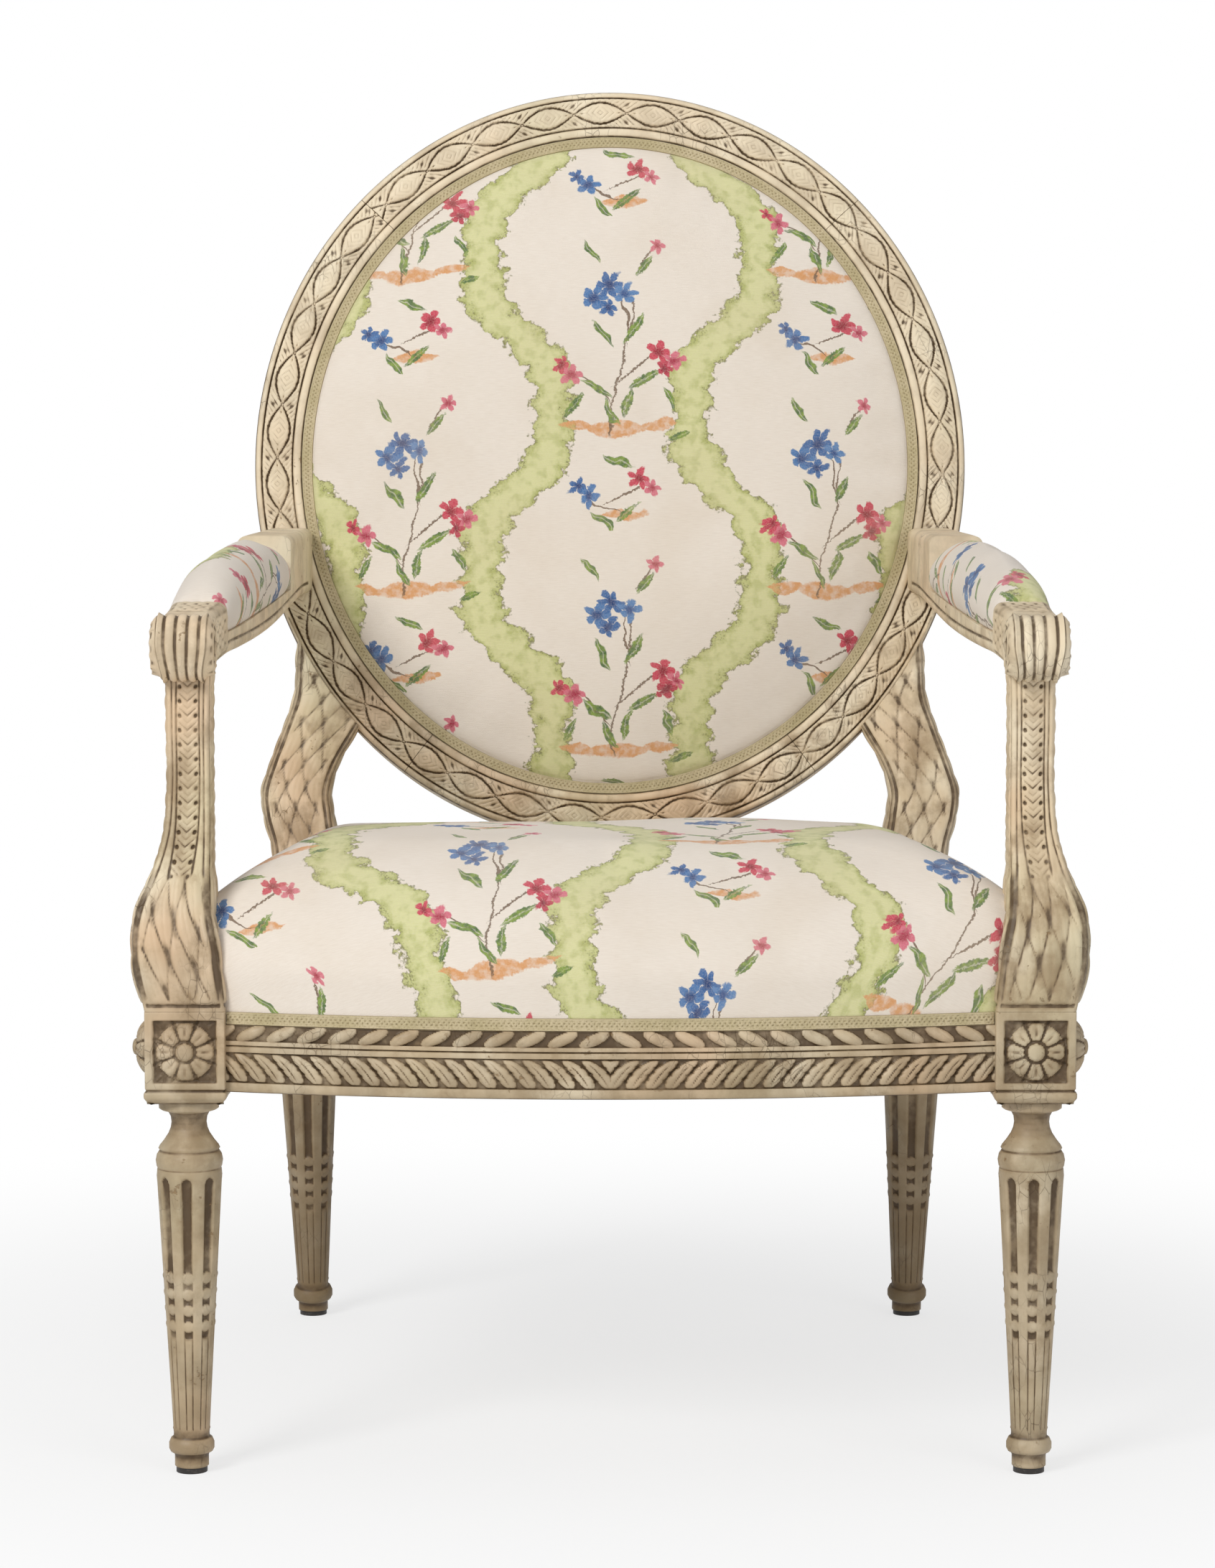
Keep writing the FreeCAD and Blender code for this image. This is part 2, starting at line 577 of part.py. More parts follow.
def arm(name, side):
    """Arm rail with its scrolled knuckle in front, its pad seat, and its end against the oval."""
    label = "arm_" + name
    front_x = "(leg_span / 2 + 1)"
    inner = "(leg_span / 2 - arm_rear_span / 2 + 1)"
    reach = "(seat_depth + 46)"
    stations = (
        ("2", "arm_height + 3", "knuckle_radius * 1.8", "knuckle_width - 2"),
        ("30", "arm_height + 8", "knuckle_radius * 1.75", "knuckle_width - 2"),
        ("pad_start", "arm_height + 13", "knuckle_radius * 1.7", "knuckle_width + 1"),
        ("pad_start + 64", "arm_height + 16", "arm_end_height + 4", "arm_width"),
        ("pad_start + 134", "arm_height + 18", "arm_end_height + 8", "arm_width"),
        ("pad_start + 234", "arm_height + arm_rise - 9", "arm_end_height + 10", "arm_width - 2"),
        ("pad_end + 5", "arm_height + arm_rise - 1", "arm_end_height + 6", "arm_end_width + 4"),
        ("pad_end + 75", "arm_height + arm_rise + 5", "arm_end_height + 1", "arm_end_width + 2"),
        (reach, "arm_height + arm_rise + 6", "arm_end_height + 1", "arm_end_width"),
    )
    sections = []
    for back, low, high, width in stations:
        centre = f"{side} * ({front_x} - {inner} * ({back}) / {reach})"
        sketch = station(label + "_station", "upright", back)
        sections.append(outline(sketch, rectangle(centre, f"{low} + ({high}) / 2", width, high)))
    rail = loft(label + "_rail", sections)
    seat_body = new_body(label + "_seat")
    seat = sketch_on(seat_body, "YZ_Plane", "-leg_span")
    lift = "arm_height + 4 * knuckle_radius"
    outline(seat, [("pad_start", "arm_height + seat_line_front"), ("pad_end", "arm_height + seat_line_rear"),
                   ("pad_end", lift), ("pad_start", lift)])
    pad(seat_body, seat, "2 * leg_span")
    cut_from(label, seat_body)
    knuckle = rod(label + "_knuckle", "knuckle_radius", "knuckle_width",
                  Vector(side * (leg_x + 1), 0, size("arm_height") + size("knuckle_radius")), X_AXIS)
    whole = doc.addObject("Part::MultiFuse", label + "_blank")
    whole.Shapes = [rail, knuckle]
    blanks[label] = whole
    bite = 1
    end_x = side * size("arm_rear_span") / 2
    front_of_oval = OVAL.multVec(Vector(0, 0, size("oval_forward") - bite))
    high = size("arm_height") + size("arm_rise") + 6 + size("arm_end_height") / 2
    depth = front_of_oval.y + (high - front_of_oval.z) * math.tan(lean)
    span = 3 * size("arm_end_height")
    behind = box(label + "_behind", str(span), str(span), str(span), Vector(-span / 2, 0, -span / 2),
                 Placement(Vector(end_x, depth, high), Rotation(X_AXIS, -size("rake"))))
    cut_from(label, behind)
    cut_from(label, blanks["oval_" + name])
    normal = OVAL.Rotation.multVec(Z_AXIS)
    dowel("arm_dowels", "arm_dowel_radius", "arm_dowel_long",
          Vector(end_x, depth, high) + normal * 4, normal,
          [label, "oval_" + name, "back_webbing", "back_hessian", "back_stuffing", "back_cover", "back_gimp"])


def arm_support(name, side):
    """Carved S-shaped support, standing on its leg block and ending against the arm."""
    label = "arm_support_" + name
    stations = (
        ("block_top", "block_side / 2", "block_side", "0", "block_side"),
        ("block_top + 38", "block_side / 2 + support_bulge", "block_side + support_bulge - 5",
         "support_sweep * 0.2", "block_side"),
        ("block_top + 69", "block_side / 2 + support_bulge - 2", "block_side - 5", "support_sweep * 0.5",
         "block_side - 6"),
        ("block_top + 92", "block_side / 2 - 3", "support_slim + 10", "support_sweep * 0.75",
         "support_deep + 9"),
        ("block_top + 119", "block_side / 2 - 11", "support_slim + 2", "support_sweep * 0.95",
         "support_deep + 3"),
        ("block_top + 152", "block_side / 2 - 14", "support_slim - 1", "support_sweep", "support_deep"),
        ("arm_height - 30", "block_side / 2 - 14", "support_slim - 1", "support_sweep", "support_deep"),
        ("arm_height + 12", "block_side / 2 - 14", "support_slim", "support_sweep * 0.9", "support_deep"),
    )
    sections = []
    notch_sections = []
    margin = "block_side"
    for lift, outer, width, back, deep in stations:
        centre = f"{side} * (leg_span / 2 + ({outer}) - ({width}) / 2)"
        sketch = station(label + "_station", "level", lift)
        sections.append(outline(sketch, rectangle(centre, back, width, deep)))
        wide, long = f"({width}) + lay_gap + {margin}", f"({deep}) + lay_gap + {margin}"
        outward = f"({centre}) + {side} * ({margin} - lay_gap) / 2"
        forward = f"({back}) - ({margin} - lay_gap) / 2"
        sketch = station(label + "_notch_station", "level", lift)
        notch_sections.append(outline(sketch, rectangle(outward, forward, wide, long)))
    notches.append(loft(label + "_notch", notch_sections))
    blanks[label] = loft(label + "_blank", sections)
    cut_from(label, blanks["arm_" + name])
    slim_x = leg_x + block_half - 14 - (size("support_slim") - 1) / 2
    dowel("arm_dowels", "arm_dowel_radius", "arm_dowel_long",
          Vector(side * slim_x, size("support_sweep"), size("arm_height") + 6), Z_AXIS,
          [label, "arm_" + name])
    dowel("arm_dowels", "arm_dowel_radius", "arm_dowel_long",
          Vector(side * (leg_x + block_half / 2), -block_half / 2, size("block_top")), Z_AXIS,
          [label, "front_leg_" + name])


for side_name, side_sign in SIDES:
    arm(side_name, side_sign)
    arm_support(side_name, side_sign)


# Plan of the seat frame: the places of its faces, used by the corner blocks and the upholstery
rail_run = post_front - block_half
rail_front_x = leg_x + block_half - face_inset
rail_rear_x = post_x + size("post_width") / 2 - size("rear_setback") - size("rail_thick") / 2
rail_slope = (rail_front_x - rail_rear_x) / rail_run
rail_half = size("rail_thick") / 2 * math.hypot(1, rail_slope)
front_face = size("rail_setback") - block_half
inner_face = front_face + size("rail_thick")
rear_face = size("seat_depth") + size("rail_thick") / 2
half_chord = leg_x - block_half
bow_radius = (half_chord ** 2 + size("bow") ** 2) / (2 * size("bow"))
seat_low = size("block_top")


def bow_line(across):
    """How far the bowed front stands behind its foremost point, at a distance from the middle."""
    return bow_radius - math.sqrt(bow_radius ** 2 - across ** 2)


def side_line(back):
    """Distance of a side rail's middle from the chair's middle, at a distance behind the front legs."""
    return rail_front_x - (back - block_half) * rail_slope


def corner_block(label, side, spots, targets):
    """Five-sided block across a corner, with a screw into each of the two rails that it touches."""
    low = size("block_top") - size("corner_drop") - size("corner_thick")
    points = [Vector(side * across, back, low) for across, back in spots]
    shape = Part.Face(Part.makePolygon(points + points[:1])).extrude(Vector(0, 0, size("corner_thick")))
    blanks[label] = solid_feature(label + "_blank", shape)
    share = 0.25
    reach = size("screw_long")
    head_long = 3
    rise = Vector(0, 0, size("corner_thick") / 2)
    facing = points[1] - points[2]
    shift = 5
    screws = ((points[1] - facing * share, Vector(0, spots[1][1] - spots[2][1], 0), targets[0], shift),
              (points[2] + facing * share, Vector(side, 0, 0), targets[1], -shift))
    for start, along, target, lift in screws:
        along.normalize()
        sink = start + rise + Vector(0, 0, lift) + along * 5
        head = rod("screw_head", "screw_head", str(head_long), sink - along * (head_long / 2), along)
        shank = rod("screw_shank", "screw_radius", "screw_long", sink + along * (reach / 2), along)
        screw = doc.addObject("Part::Fuse", "screw")
        screw.Base, screw.Tool = head, shank
        groups.setdefault("corner_screws", []).append(screw)
        cut_from(label, rod("screw_sink", "screw_head + fit_gap", "20", sink - along * 10, along))
        for owner in (label, target):
            cut_from(owner, rod("screw_hole", "screw_radius + fit_gap", "screw_long + fit_gap",
                                sink + along * (reach / 2), along))


leg_reach = size("corner_leg")
for side_name, side_sign in SIDES:
    tip = half_chord - leg_reach
    front_spots = [(half_chord, inner_face),
                   (tip, inner_face - size("bow") + bow_line(tip)),
                   (side_line(block_half + leg_reach) - rail_half, block_half + leg_reach),
                   (side_line(block_half) - rail_half, block_half), (half_chord, block_half)]
    corner_block("corner_block_front_" + side_name, side_sign, front_spots,
                 ("front_rail", "side_rail_" + side_name))
    post_inner = post_x - size("post_width") / 2
    rear_inner = rear_face - size("rail_thick")
    rear_spots = [(post_inner, rear_inner), (post_inner - leg_reach, rear_inner),
                  (side_line(post_front - leg_reach) - rail_half, post_front - leg_reach),
                  (side_line(post_front) - rail_half, post_front), (post_inner, post_front)]
    corner_block("corner_block_rear_" + side_name, side_sign, rear_spots,
                 ("rear_rail", "side_rail_" + side_name))


# Seat upholstery
def seat_wire(inset, height):
    """Plan outline of the seat, inside the faces of its rails, at one height, with rounded corners."""
    nose_y = front_face - size("bow") + inset
    corner_x = side_line(0) + rail_half - inset
    rear_y = rear_face - inset
    rear_x = side_line(rear_face) + rail_half - inset
    trim = size("seat_corner") + 0.5 * inset
    corner_y = nose_y + bow_line(corner_x)
    front_x = corner_x - trim
    front = Vector(front_x, nose_y + bow_line(front_x), height)
    side = Vector(side_line(corner_y + trim) + rail_half - inset, corner_y + trim, height)
    rear_side = Vector(side_line(rear_y - trim) + rail_half - inset, rear_y - trim, height)
    rear = Vector(rear_x - trim, rear_y, height)
    half = [front, Vector(corner_x, corner_y, height), side, rear_side, Vector(rear_x, rear_y, height), rear]
    other = [Vector(-spot.x, spot.y, spot.z) for spot in half]

    def round_over(first, corner, last):
        """Arc that rounds one corner."""
        middle = corner + ((first - corner) + (last - corner)) * (1 - math.sqrt(0.5))
        return Part.Arc(first, middle, last).toShape()

    return Part.Wire([Part.Arc(other[0], Vector(0, nose_y, height), half[0]).toShape(),
                      round_over(half[0], half[1], half[2]), Part.makeLine(half[2], half[3]),
                      round_over(half[3], half[4], half[5]), Part.makeLine(half[5], other[5]),
                      round_over(other[5], other[4], other[3]), Part.makeLine(other[3], other[2]),
                      round_over(other[2], other[1], other[0])])


def seat_slab(inset, low, high):
    """Flat slab of the seat's plan."""
    return Part.Face(seat_wire(inset, low)).extrude(Vector(0, 0, high - low))


def seat_dome(inset, low, lift):
    """Solid of the stuffed seat: straight sides, rounded over to a crown, grown by a lift."""
    wall, crown = size("seat_wall"), size("seat_crown") + lift
    walls = Part.makeLoft([seat_wire(inset, low), seat_wire(inset, wall)], True, True)
    levels = []
    for turn in (0, 20, 40, 60, 76, 90):
        angle = math.radians(turn)
        levels.append(seat_wire(inset + size("seat_round") * (1 - math.cos(angle)),
                                wall + (crown - wall) * math.sin(angle)))
    return walls.fuse(Part.makeLoft(levels, True, False))


def seat_notches(gap):
    """Spaces round the leg blocks, rear posts and arm supports that the seat keeps clear of."""
    high = size("seat_crown")
    tools = [notch.Shape for notch in notches]
    post_half = size("post_width") / 2
    behind = 2 * size("post_deep")
    for side in (-1, 1):
        block_in = side * (half_chord - gap)
        corner = Vector(min(block_in, block_in + side * leg_x), block_half + gap - leg_x, 0)
        tools.append(Part.makeBox(leg_x, leg_x, seat_low + 0.01, corner))
        post_in = side * (post_x - post_half - 2 * gap)
        corner = Vector(min(post_in, post_in + side * leg_x), post_front - 2 * gap, 0)
        tools.append(Part.makeBox(leg_x, behind, 2 * high, corner))
    return tools


def strips(wide_half, deep_low, deep_high, low, keep):
    """Two crossed layers of webbing strips, kept inside a plan shape."""
    width, thick = size("web_width"), size("web_thick")
    count = 5
    pieces = []
    for index in range(count):
        across = wide_half * (index - (count - 1) / 2) / ((count - 1) / 2)
        start = Vector(across - width / 2, -2 * leg_x, low)
        pieces.append(Part.makeBox(width, 4 * leg_x, thick, start))
        back = deep_low + (deep_high - deep_low) * index / (count - 1)
        start = Vector(-2 * leg_x, back - width / 2, low + thick)
        pieces.append(Part.makeBox(4 * leg_x, width, thick, start))
    grid = pieces[0].multiFuse(pieces[1:])
    return grid.common(keep)


doc.recompute()
web_top = seat_low + 2 * size("web_thick")
hessian_top = web_top + size("hessian_thick")
keep_clear = seat_notches(size("lay_gap"))
inner_edge = size("rabbet_deep") + 1
web_spread = post_x - (size("post_width") + size("web_width")) / 2 - size("web_margin")
web_front = block_half + 0.8 * size("web_width")
web_rear = post_front - size("web_width")
blanks["seat_webbing"] = solid_feature(
    "seat_webbing_blank",
    strips(web_spread, web_front, web_rear, seat_low, seat_slab(inner_edge, seat_low, web_top)))
blanks["seat_hessian"] = solid_feature(
    "seat_hessian_blank", seat_slab(inner_edge, web_top, hessian_top).cut(keep_clear))
blanks["seat_stuffing"] = solid_feature(
    "seat_stuffing_blank", seat_dome(size("rabbet_deep"), hessian_top + size("lay_gap"), 0).cut(keep_clear))
skirt_low = seat_low - size("rabbet_height") + size("lay_gap")
skin_in = size("rabbet_deep") - size("lay_gap")
skin_out = skin_in - size("cover_thick")
cover = seat_dome(skin_out, skirt_low, size("lay_gap") + size("cover_thick"))
cover = cover.cut([seat_dome(skin_in, skirt_low - 5, size("lay_gap"))] + keep_clear)
blanks["seat_cover"] = solid_feature("seat_cover_blank", cover)
braid_in = skin_out - size("lay_gap")
braid = seat_slab(braid_in - size("gimp_thick"), skirt_low, skirt_low + size("gimp_width"))
braid = braid.cut([seat_slab(braid_in, skirt_low, seat_low)] + keep_clear)
blanks["seat_gimp"] = solid_feature("seat_gimp_blank", braid)


# Back upholstery, in the oval's own frame: height over the middle plane is the third direction
def oval_wire(inset, height):
    """One oval line, inside the frame's outer edge, at a height over the middle plane."""
    wire = Part.Wire(oval_curve(inset)[0].toShape())
    return wire.translated(Vector(0, 0, height))


def oval_pad(inset, low, edge, flange, crown):
    """Closed domed pad with a flat flange round its edge and a crowned middle."""
    rim = size("oval_half_width") - inset - flange
    levels = []
    for share in (1, 0.97, 0.9, 0.78, 0.6, 0.35, 0.12):
        swell = (1 - share ** 4) ** 0.6
        levels.append(oval_wire(inset + flange + rim * (1 - share), edge + (crown - edge) * swell))
    dome = Part.makeLoft(levels, True, False, False, 3)
    return oval_plate(inset, low, edge).fuse(dome)


lip_front = size("lip_front")
back_web_top = lip_front + 2 * size("web_thick")
back_hessian_top = back_web_top + size("hessian_thick")
stuffing_low = back_hessian_top + size("lay_gap")
stuffing_edge = stuffing_low + size("back_edge")
crown_top = size("oval_forward") + size("back_crown")
skin = size("cover_thick") + size("lay_gap")
panel_inset = size("oval_width") + size("lay_gap")
half_spread = size("oval_half_height") - size("oval_width") - size("web_width") * 0.8
blanks["back_webbing"] = solid_feature(
    "back_webbing_blank",
    strips(size("oval_half_width") - size("oval_width") - size("web_width") * 0.8, -half_spread, half_spread,
           lip_front, oval_plate(panel_inset, lip_front, back_web_top)), OVAL)
blanks["back_hessian"] = solid_feature(
    "back_hessian_blank", oval_plate(panel_inset, back_web_top, back_hessian_top), OVAL)
blanks["back_stuffing"] = solid_feature(
    "back_stuffing_blank",
    oval_pad(panel_inset + skin, stuffing_low, stuffing_edge, size("gimp_width"), crown_top), OVAL)
cover = oval_pad(panel_inset, stuffing_low, stuffing_edge + skin, size("gimp_width"), crown_top + skin)
hollow = oval_pad(panel_inset + size("cover_thick"), stuffing_low - 5, stuffing_edge + size("lay_gap"),
                  size("gimp_width"), crown_top + size("lay_gap"))
blanks["back_cover"] = solid_feature("back_cover_blank", cover.cut(hollow), OVAL)
braid_low = stuffing_edge + skin + size("lay_gap")
braid_high = braid_low + size("gimp_thick")
braid = oval_plate(panel_inset, braid_low, braid_high)
braid = braid.cut(oval_plate(panel_inset + size("gimp_width") - 2 * size("lay_gap"), braid_low, braid_high))
blanks["back_gimp"] = solid_feature("back_gimp_blank", braid, OVAL)
rear_inset = size("rear_band") + size("lay_gap")
recess = size("rear_rabbet") - size("oval_back")
outer_face = recess - size("cover_thick")
blanks["outer_back_cover"] = solid_feature(
    "outer_back_cover_blank", oval_plate(rear_inset, outer_face, recess), OVAL)
braid = oval_plate(rear_inset, outer_face - size("gimp_thick"), outer_face)
braid = braid.cut(oval_plate(rear_inset + size("gimp_width"), outer_face - size("gimp_thick"), outer_face))
blanks["outer_back_gimp"] = solid_feature("outer_back_gimp_blank", braid, OVAL)


# Arm pads
def arm_pad_section(side, back, shrink, drop):
    """D-shaped section across an arm pad, shrunk all round and let down by a drop below the rail."""
    share = (back - size("pad_start")) / (size("pad_end") - size("pad_start"))
    swell = math.sqrt(1 - abs(2 * share - 1) ** 2.6)
    half = size("pad_width") * (0.4 + 0.1 * swell) - shrink
    line = size("seat_line_front") + (size("seat_line_rear") - size("seat_line_front")) * share
    low = size("arm_height") + line + size("lay_gap")
    full = size("pad_high") * (0.3 + 0.7 * swell)
    high = low + full - shrink
    inner = leg_x + 1 - size("arm_rear_span") / 2
    middle = side * (leg_x + 1 - inner * back / (size("seat_depth") + 46))
    foot, belly = 0.84 * half, low + full * 0.45
    right, left = Vector(middle + foot, back, low), Vector(middle - foot, back, low)
    top = Vector(middle, back, high)
    edges = [Part.Arc(right, Vector(middle + half, back, belly), top).toShape(),
             Part.Arc(top, Vector(middle - half, back, belly), left).toShape()]
    if drop:
        fall = Vector(0, 0, drop)
        edges += [Part.makeLine(left, left - fall), Part.makeLine(left - fall, right - fall),
                  Part.makeLine(right - fall, right)]
    else:
        edges.append(Part.makeLine(left, right))
    return Part.Wire(edges)


def arm_pad_solid(side, shrink, drop=0.0):
    """Barrel-shaped pad between the two ends of its seat in the arm."""
    first, last = size("pad_start") + size("lay_gap") + shrink, size("pad_end") - size("lay_gap") - shrink
    shares = (0, 0.08, 0.25, 0.5, 0.75, 0.92, 1)
    return Part.makeLoft([arm_pad_section(side, first + (last - first) * share, shrink, drop)
                          for share in shares], True, False)


for side_name, side_sign in SIDES:
    blanks["arm_pad_" + side_name] = solid_feature("arm_pad_blank", arm_pad_solid(side_sign, skin))
    shell = arm_pad_solid(side_sign, 0).cut(arm_pad_solid(side_sign, size("cover_thick"), 5))
    blanks["arm_cover_" + side_name] = solid_feature("arm_cover_blank", shell)


# Finished pieces: every blank with its holes, then the groups of fasteners
pieces = []
for label, blank in blanks.items():
    tools = holes.get(label, [])
    finished = blank
    if tools:
        tool = tools[0]
        if len(tools) > 1:
            tool = doc.addObject("Part::MultiFuse", label + "_holes")
            tool.Shapes = tools
        finished = doc.addObject("Part::Cut", label)
        finished.Base, finished.Tool = blank, tool
    finished.Label = label
    pieces.append(finished)
for label, members in groups.items():
    group = doc.addObject("Part::Compound", label)
    group.Links = members
    group.Label = label
    pieces.append(group)
doc.recompute()


def check(items):
    """Stop if an object failed to build or a sub-part's shape isn't sound."""
    for item in items:
        if "Invalid" in item.State or "Error" in item.State:
            raise RuntimeError(f"{item.Name} did not build")
    for piece in pieces:
        if piece.Shape.isNull() or not piece.Shape.isValid() or not piece.Shape.Solids:
            raise RuntimeError(f"{piece.Label} has no sound shape")


check(doc.Objects)
whole_box = FreeCAD.BoundBox()
for piece in pieces:
    whole_box.add(piece.Shape.optimalBoundingBox(False))
to_origin = Placement(Vector(0, -whole_box.Center.y, 0), UPRIGHT)
os.makedirs("parts", exist_ok=True)
for piece in pieces:
    piece.Placement = to_origin.multiply(piece.Placement)
    piece.Shape.exportStep(f"parts/{piece.Label}.step")
overall = (whole_box.XLength, whole_box.YLength, whole_box.ZLength)
print(len(pieces), "pieces,", " x ".join(f"{length:.1f}" for length in overall), "mm")
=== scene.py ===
"""Dressed scene of an oval-backed, carved and painted armchair.

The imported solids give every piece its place. The carved frame, the upholstery and the braid are built
here as detailed meshes over them, each finish is a node material, and a camera stands where the
photograph was taken. Shapes are worked out in millimetres, with y = 0 on the line through the front
legs, and become metres in the chair's own frame when a mesh is made.
"""
import logging
import math
from dataclasses import dataclass, field
from enum import Enum
from typing import Callable, Optional, Sequence

import bmesh
import bpy
import numpy as np
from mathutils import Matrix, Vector


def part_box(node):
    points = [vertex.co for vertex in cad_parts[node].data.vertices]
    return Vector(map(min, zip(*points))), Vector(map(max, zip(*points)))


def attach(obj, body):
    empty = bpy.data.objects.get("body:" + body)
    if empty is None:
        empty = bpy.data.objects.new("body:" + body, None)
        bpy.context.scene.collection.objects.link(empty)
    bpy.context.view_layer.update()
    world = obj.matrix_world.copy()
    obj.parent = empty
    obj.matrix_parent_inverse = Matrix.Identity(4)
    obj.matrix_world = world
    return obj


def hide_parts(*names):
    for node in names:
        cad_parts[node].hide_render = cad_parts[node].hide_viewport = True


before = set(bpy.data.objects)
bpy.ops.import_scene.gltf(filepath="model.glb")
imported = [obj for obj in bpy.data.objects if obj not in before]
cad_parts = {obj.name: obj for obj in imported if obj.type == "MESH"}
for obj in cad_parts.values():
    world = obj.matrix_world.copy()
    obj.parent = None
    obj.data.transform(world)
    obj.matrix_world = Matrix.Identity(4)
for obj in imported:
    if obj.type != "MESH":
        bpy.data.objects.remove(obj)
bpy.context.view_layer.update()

LOG = logging.getLogger("armchair")
MM = 0.001
STEP = {"interpolation_type": "SMOOTHSTEP"}  # a MapRange node that eases in and out
COLOUR = {"data_type": "RGBA"}  # a Mix node for colours: inputs 6 and 7, output 2


class Side(Enum):
    """The chair's two sides, with the sign of their X."""

    LEFT = -1
    RIGHT = 1

    @property
    def word(self) -> str:
        """The side's name as the solids' names spell it."""
        return self.name.lower()


# ---- Numbers and arrays ----
def linear(code: str) -> tuple[float, float, float, float]:
    """Turn a screen colour into the renderer's linear light.

    Args:
        code: colour as "#rrggbb".

    Returns:
        Red, green, blue and full opacity.
    """
    parts = [int(code[i:i + 2], 16) / 255 for i in (1, 3, 5)]
    light = [c / 12.92 if c <= 0.04045 else ((c + 0.055) / 1.055) ** 2.4 for c in parts]
    return light[0], light[1], light[2], 1.0


def ease(low: float, high: float, value: np.ndarray) -> np.ndarray:
    """Smooth step between two limits.

    Args:
        low: value where the step starts.
        high: value where the step ends.
        value: numbers to place on it.

    Returns:
        0 before low, 1 after high, and a smooth rise between.
    """
    share = np.clip((value - low) / (high - low), 0, 1)
    return share * share * (3 - 2 * share)


def groove(distance: np.ndarray, width: float) -> np.ndarray:
    """Rounded groove about a line.

    Args:
        distance: distance from the line.
        width: half the groove's width.

    Returns:
        1 on the line, falling to 0 beside it.
    """
    return np.exp(-(distance / width) ** 2)


def chance(index: np.ndarray, salt: float = 0.0) -> np.ndarray:
    """Fixed pseudo-random number for each index.

    Args:
        index: whole numbers.
        salt: picks another row of numbers.

    Returns:
        Numbers from 0 to 1.
    """
    raw = np.sin(index * 12.9898 + salt * 78.233 + 4.1) * 43758.5453
    return raw - np.floor(raw)


def blur(field_in: np.ndarray, reach: int, wrap_rows: bool, wrap_columns: bool) -> np.ndarray:
    """Average each number with its neighbours in a square.

    Args:
        field_in: numbers on a grid.
        reach: neighbours on each side.
        wrap_rows: whether the last row meets the first.
        wrap_columns: whether the last column meets the first.

    Returns:
        The averaged grid.
    """
    out = field_in
    for axis, wrap in ((0, wrap_rows), (1, wrap_columns)):
        pad = [(0, 0), (0, 0)]
        pad[axis] = (reach, reach)
        wide = np.pad(out, pad, mode="wrap" if wrap else "edge")
        out = sum(np.take(wide, range(k, k + out.shape[axis]), axis=axis) for k in range(2 * reach + 1))
        out = out / (2 * reach + 1)
    return out


def resample(points: Sequence[Sequence[float]], step: float) -> tuple[np.ndarray, np.ndarray]:
    """Divide a line of points into even steps.

    Args:
        points: corners of the line.
        step: wanted length of one step.

    Returns:
        The new points, and their running length along the line.
    """
    line = np.asarray(points, float)
    runs = np.r_[0, np.cumsum(np.linalg.norm(np.diff(line, axis=0), axis=1))]
    spots = []
    for start, end in zip(runs[:-1], runs[1:]):
        count = max(1, int(round((end - start) / step)))
        spots.extend(np.linspace(start, end, count, endpoint=False))
    spots.append(runs[-1])
    spots = np.asarray(spots)
    columns = [np.interp(spots, runs, line[:, k]) for k in range(line.shape[1])]
    return np.stack(columns, axis=1), spots


def smooth_table(table: Sequence[Sequence[float]], places: np.ndarray) -> np.ndarray:
    """Read a table of stations by a smooth curve through them.

    Args:
        table: rows of a place followed by its values.
        places: places to read at.

    Returns:
        One row of values for each place.
    """
    rows = np.asarray(table, float)
    keys, values = rows[:, 0], rows[:, 1:]
    slope = np.gradient(values, keys, axis=0)
    index = np.clip(np.searchsorted(keys, places) - 1, 0, len(keys) - 2)
    gap = (keys[index + 1] - keys[index])[:, None]
    t = np.clip((places - keys[index])[:, None] / gap, 0, 1)
    start, end = values[index], values[index + 1]
    first, last = slope[index] * gap, slope[index + 1] * gap
    return ((2 * t ** 3 - 3 * t ** 2 + 1) * start + (t ** 3 - 2 * t ** 2 + t) * first
            + (3 * t ** 2 - 2 * t ** 3) * end + (t ** 3 - t ** 2) * last)


# ---- Meshes ----
@dataclass
class Place:
    """Where the working frame lies in the chair's own frame."""

    front_y: float = 0.0
    glide: float = 11.0

    def measure(self) -> None:
        """Read the front legs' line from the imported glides."""
        low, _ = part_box("foot_glides")
        self.front_y = low.y + self.glide * MM

    def to_metres(self, points: np.ndarray) -> np.ndarray:
        """Move working points into the chair's own frame.

        Args:
            points: rows of x, y, z in millimetres.

        Returns:
            The same points in metres.
        """
        out = np.asarray(points, float).reshape(-1, 3) * MM
        out[:, 1] += self.front_y
        return out


PLACE = Place()


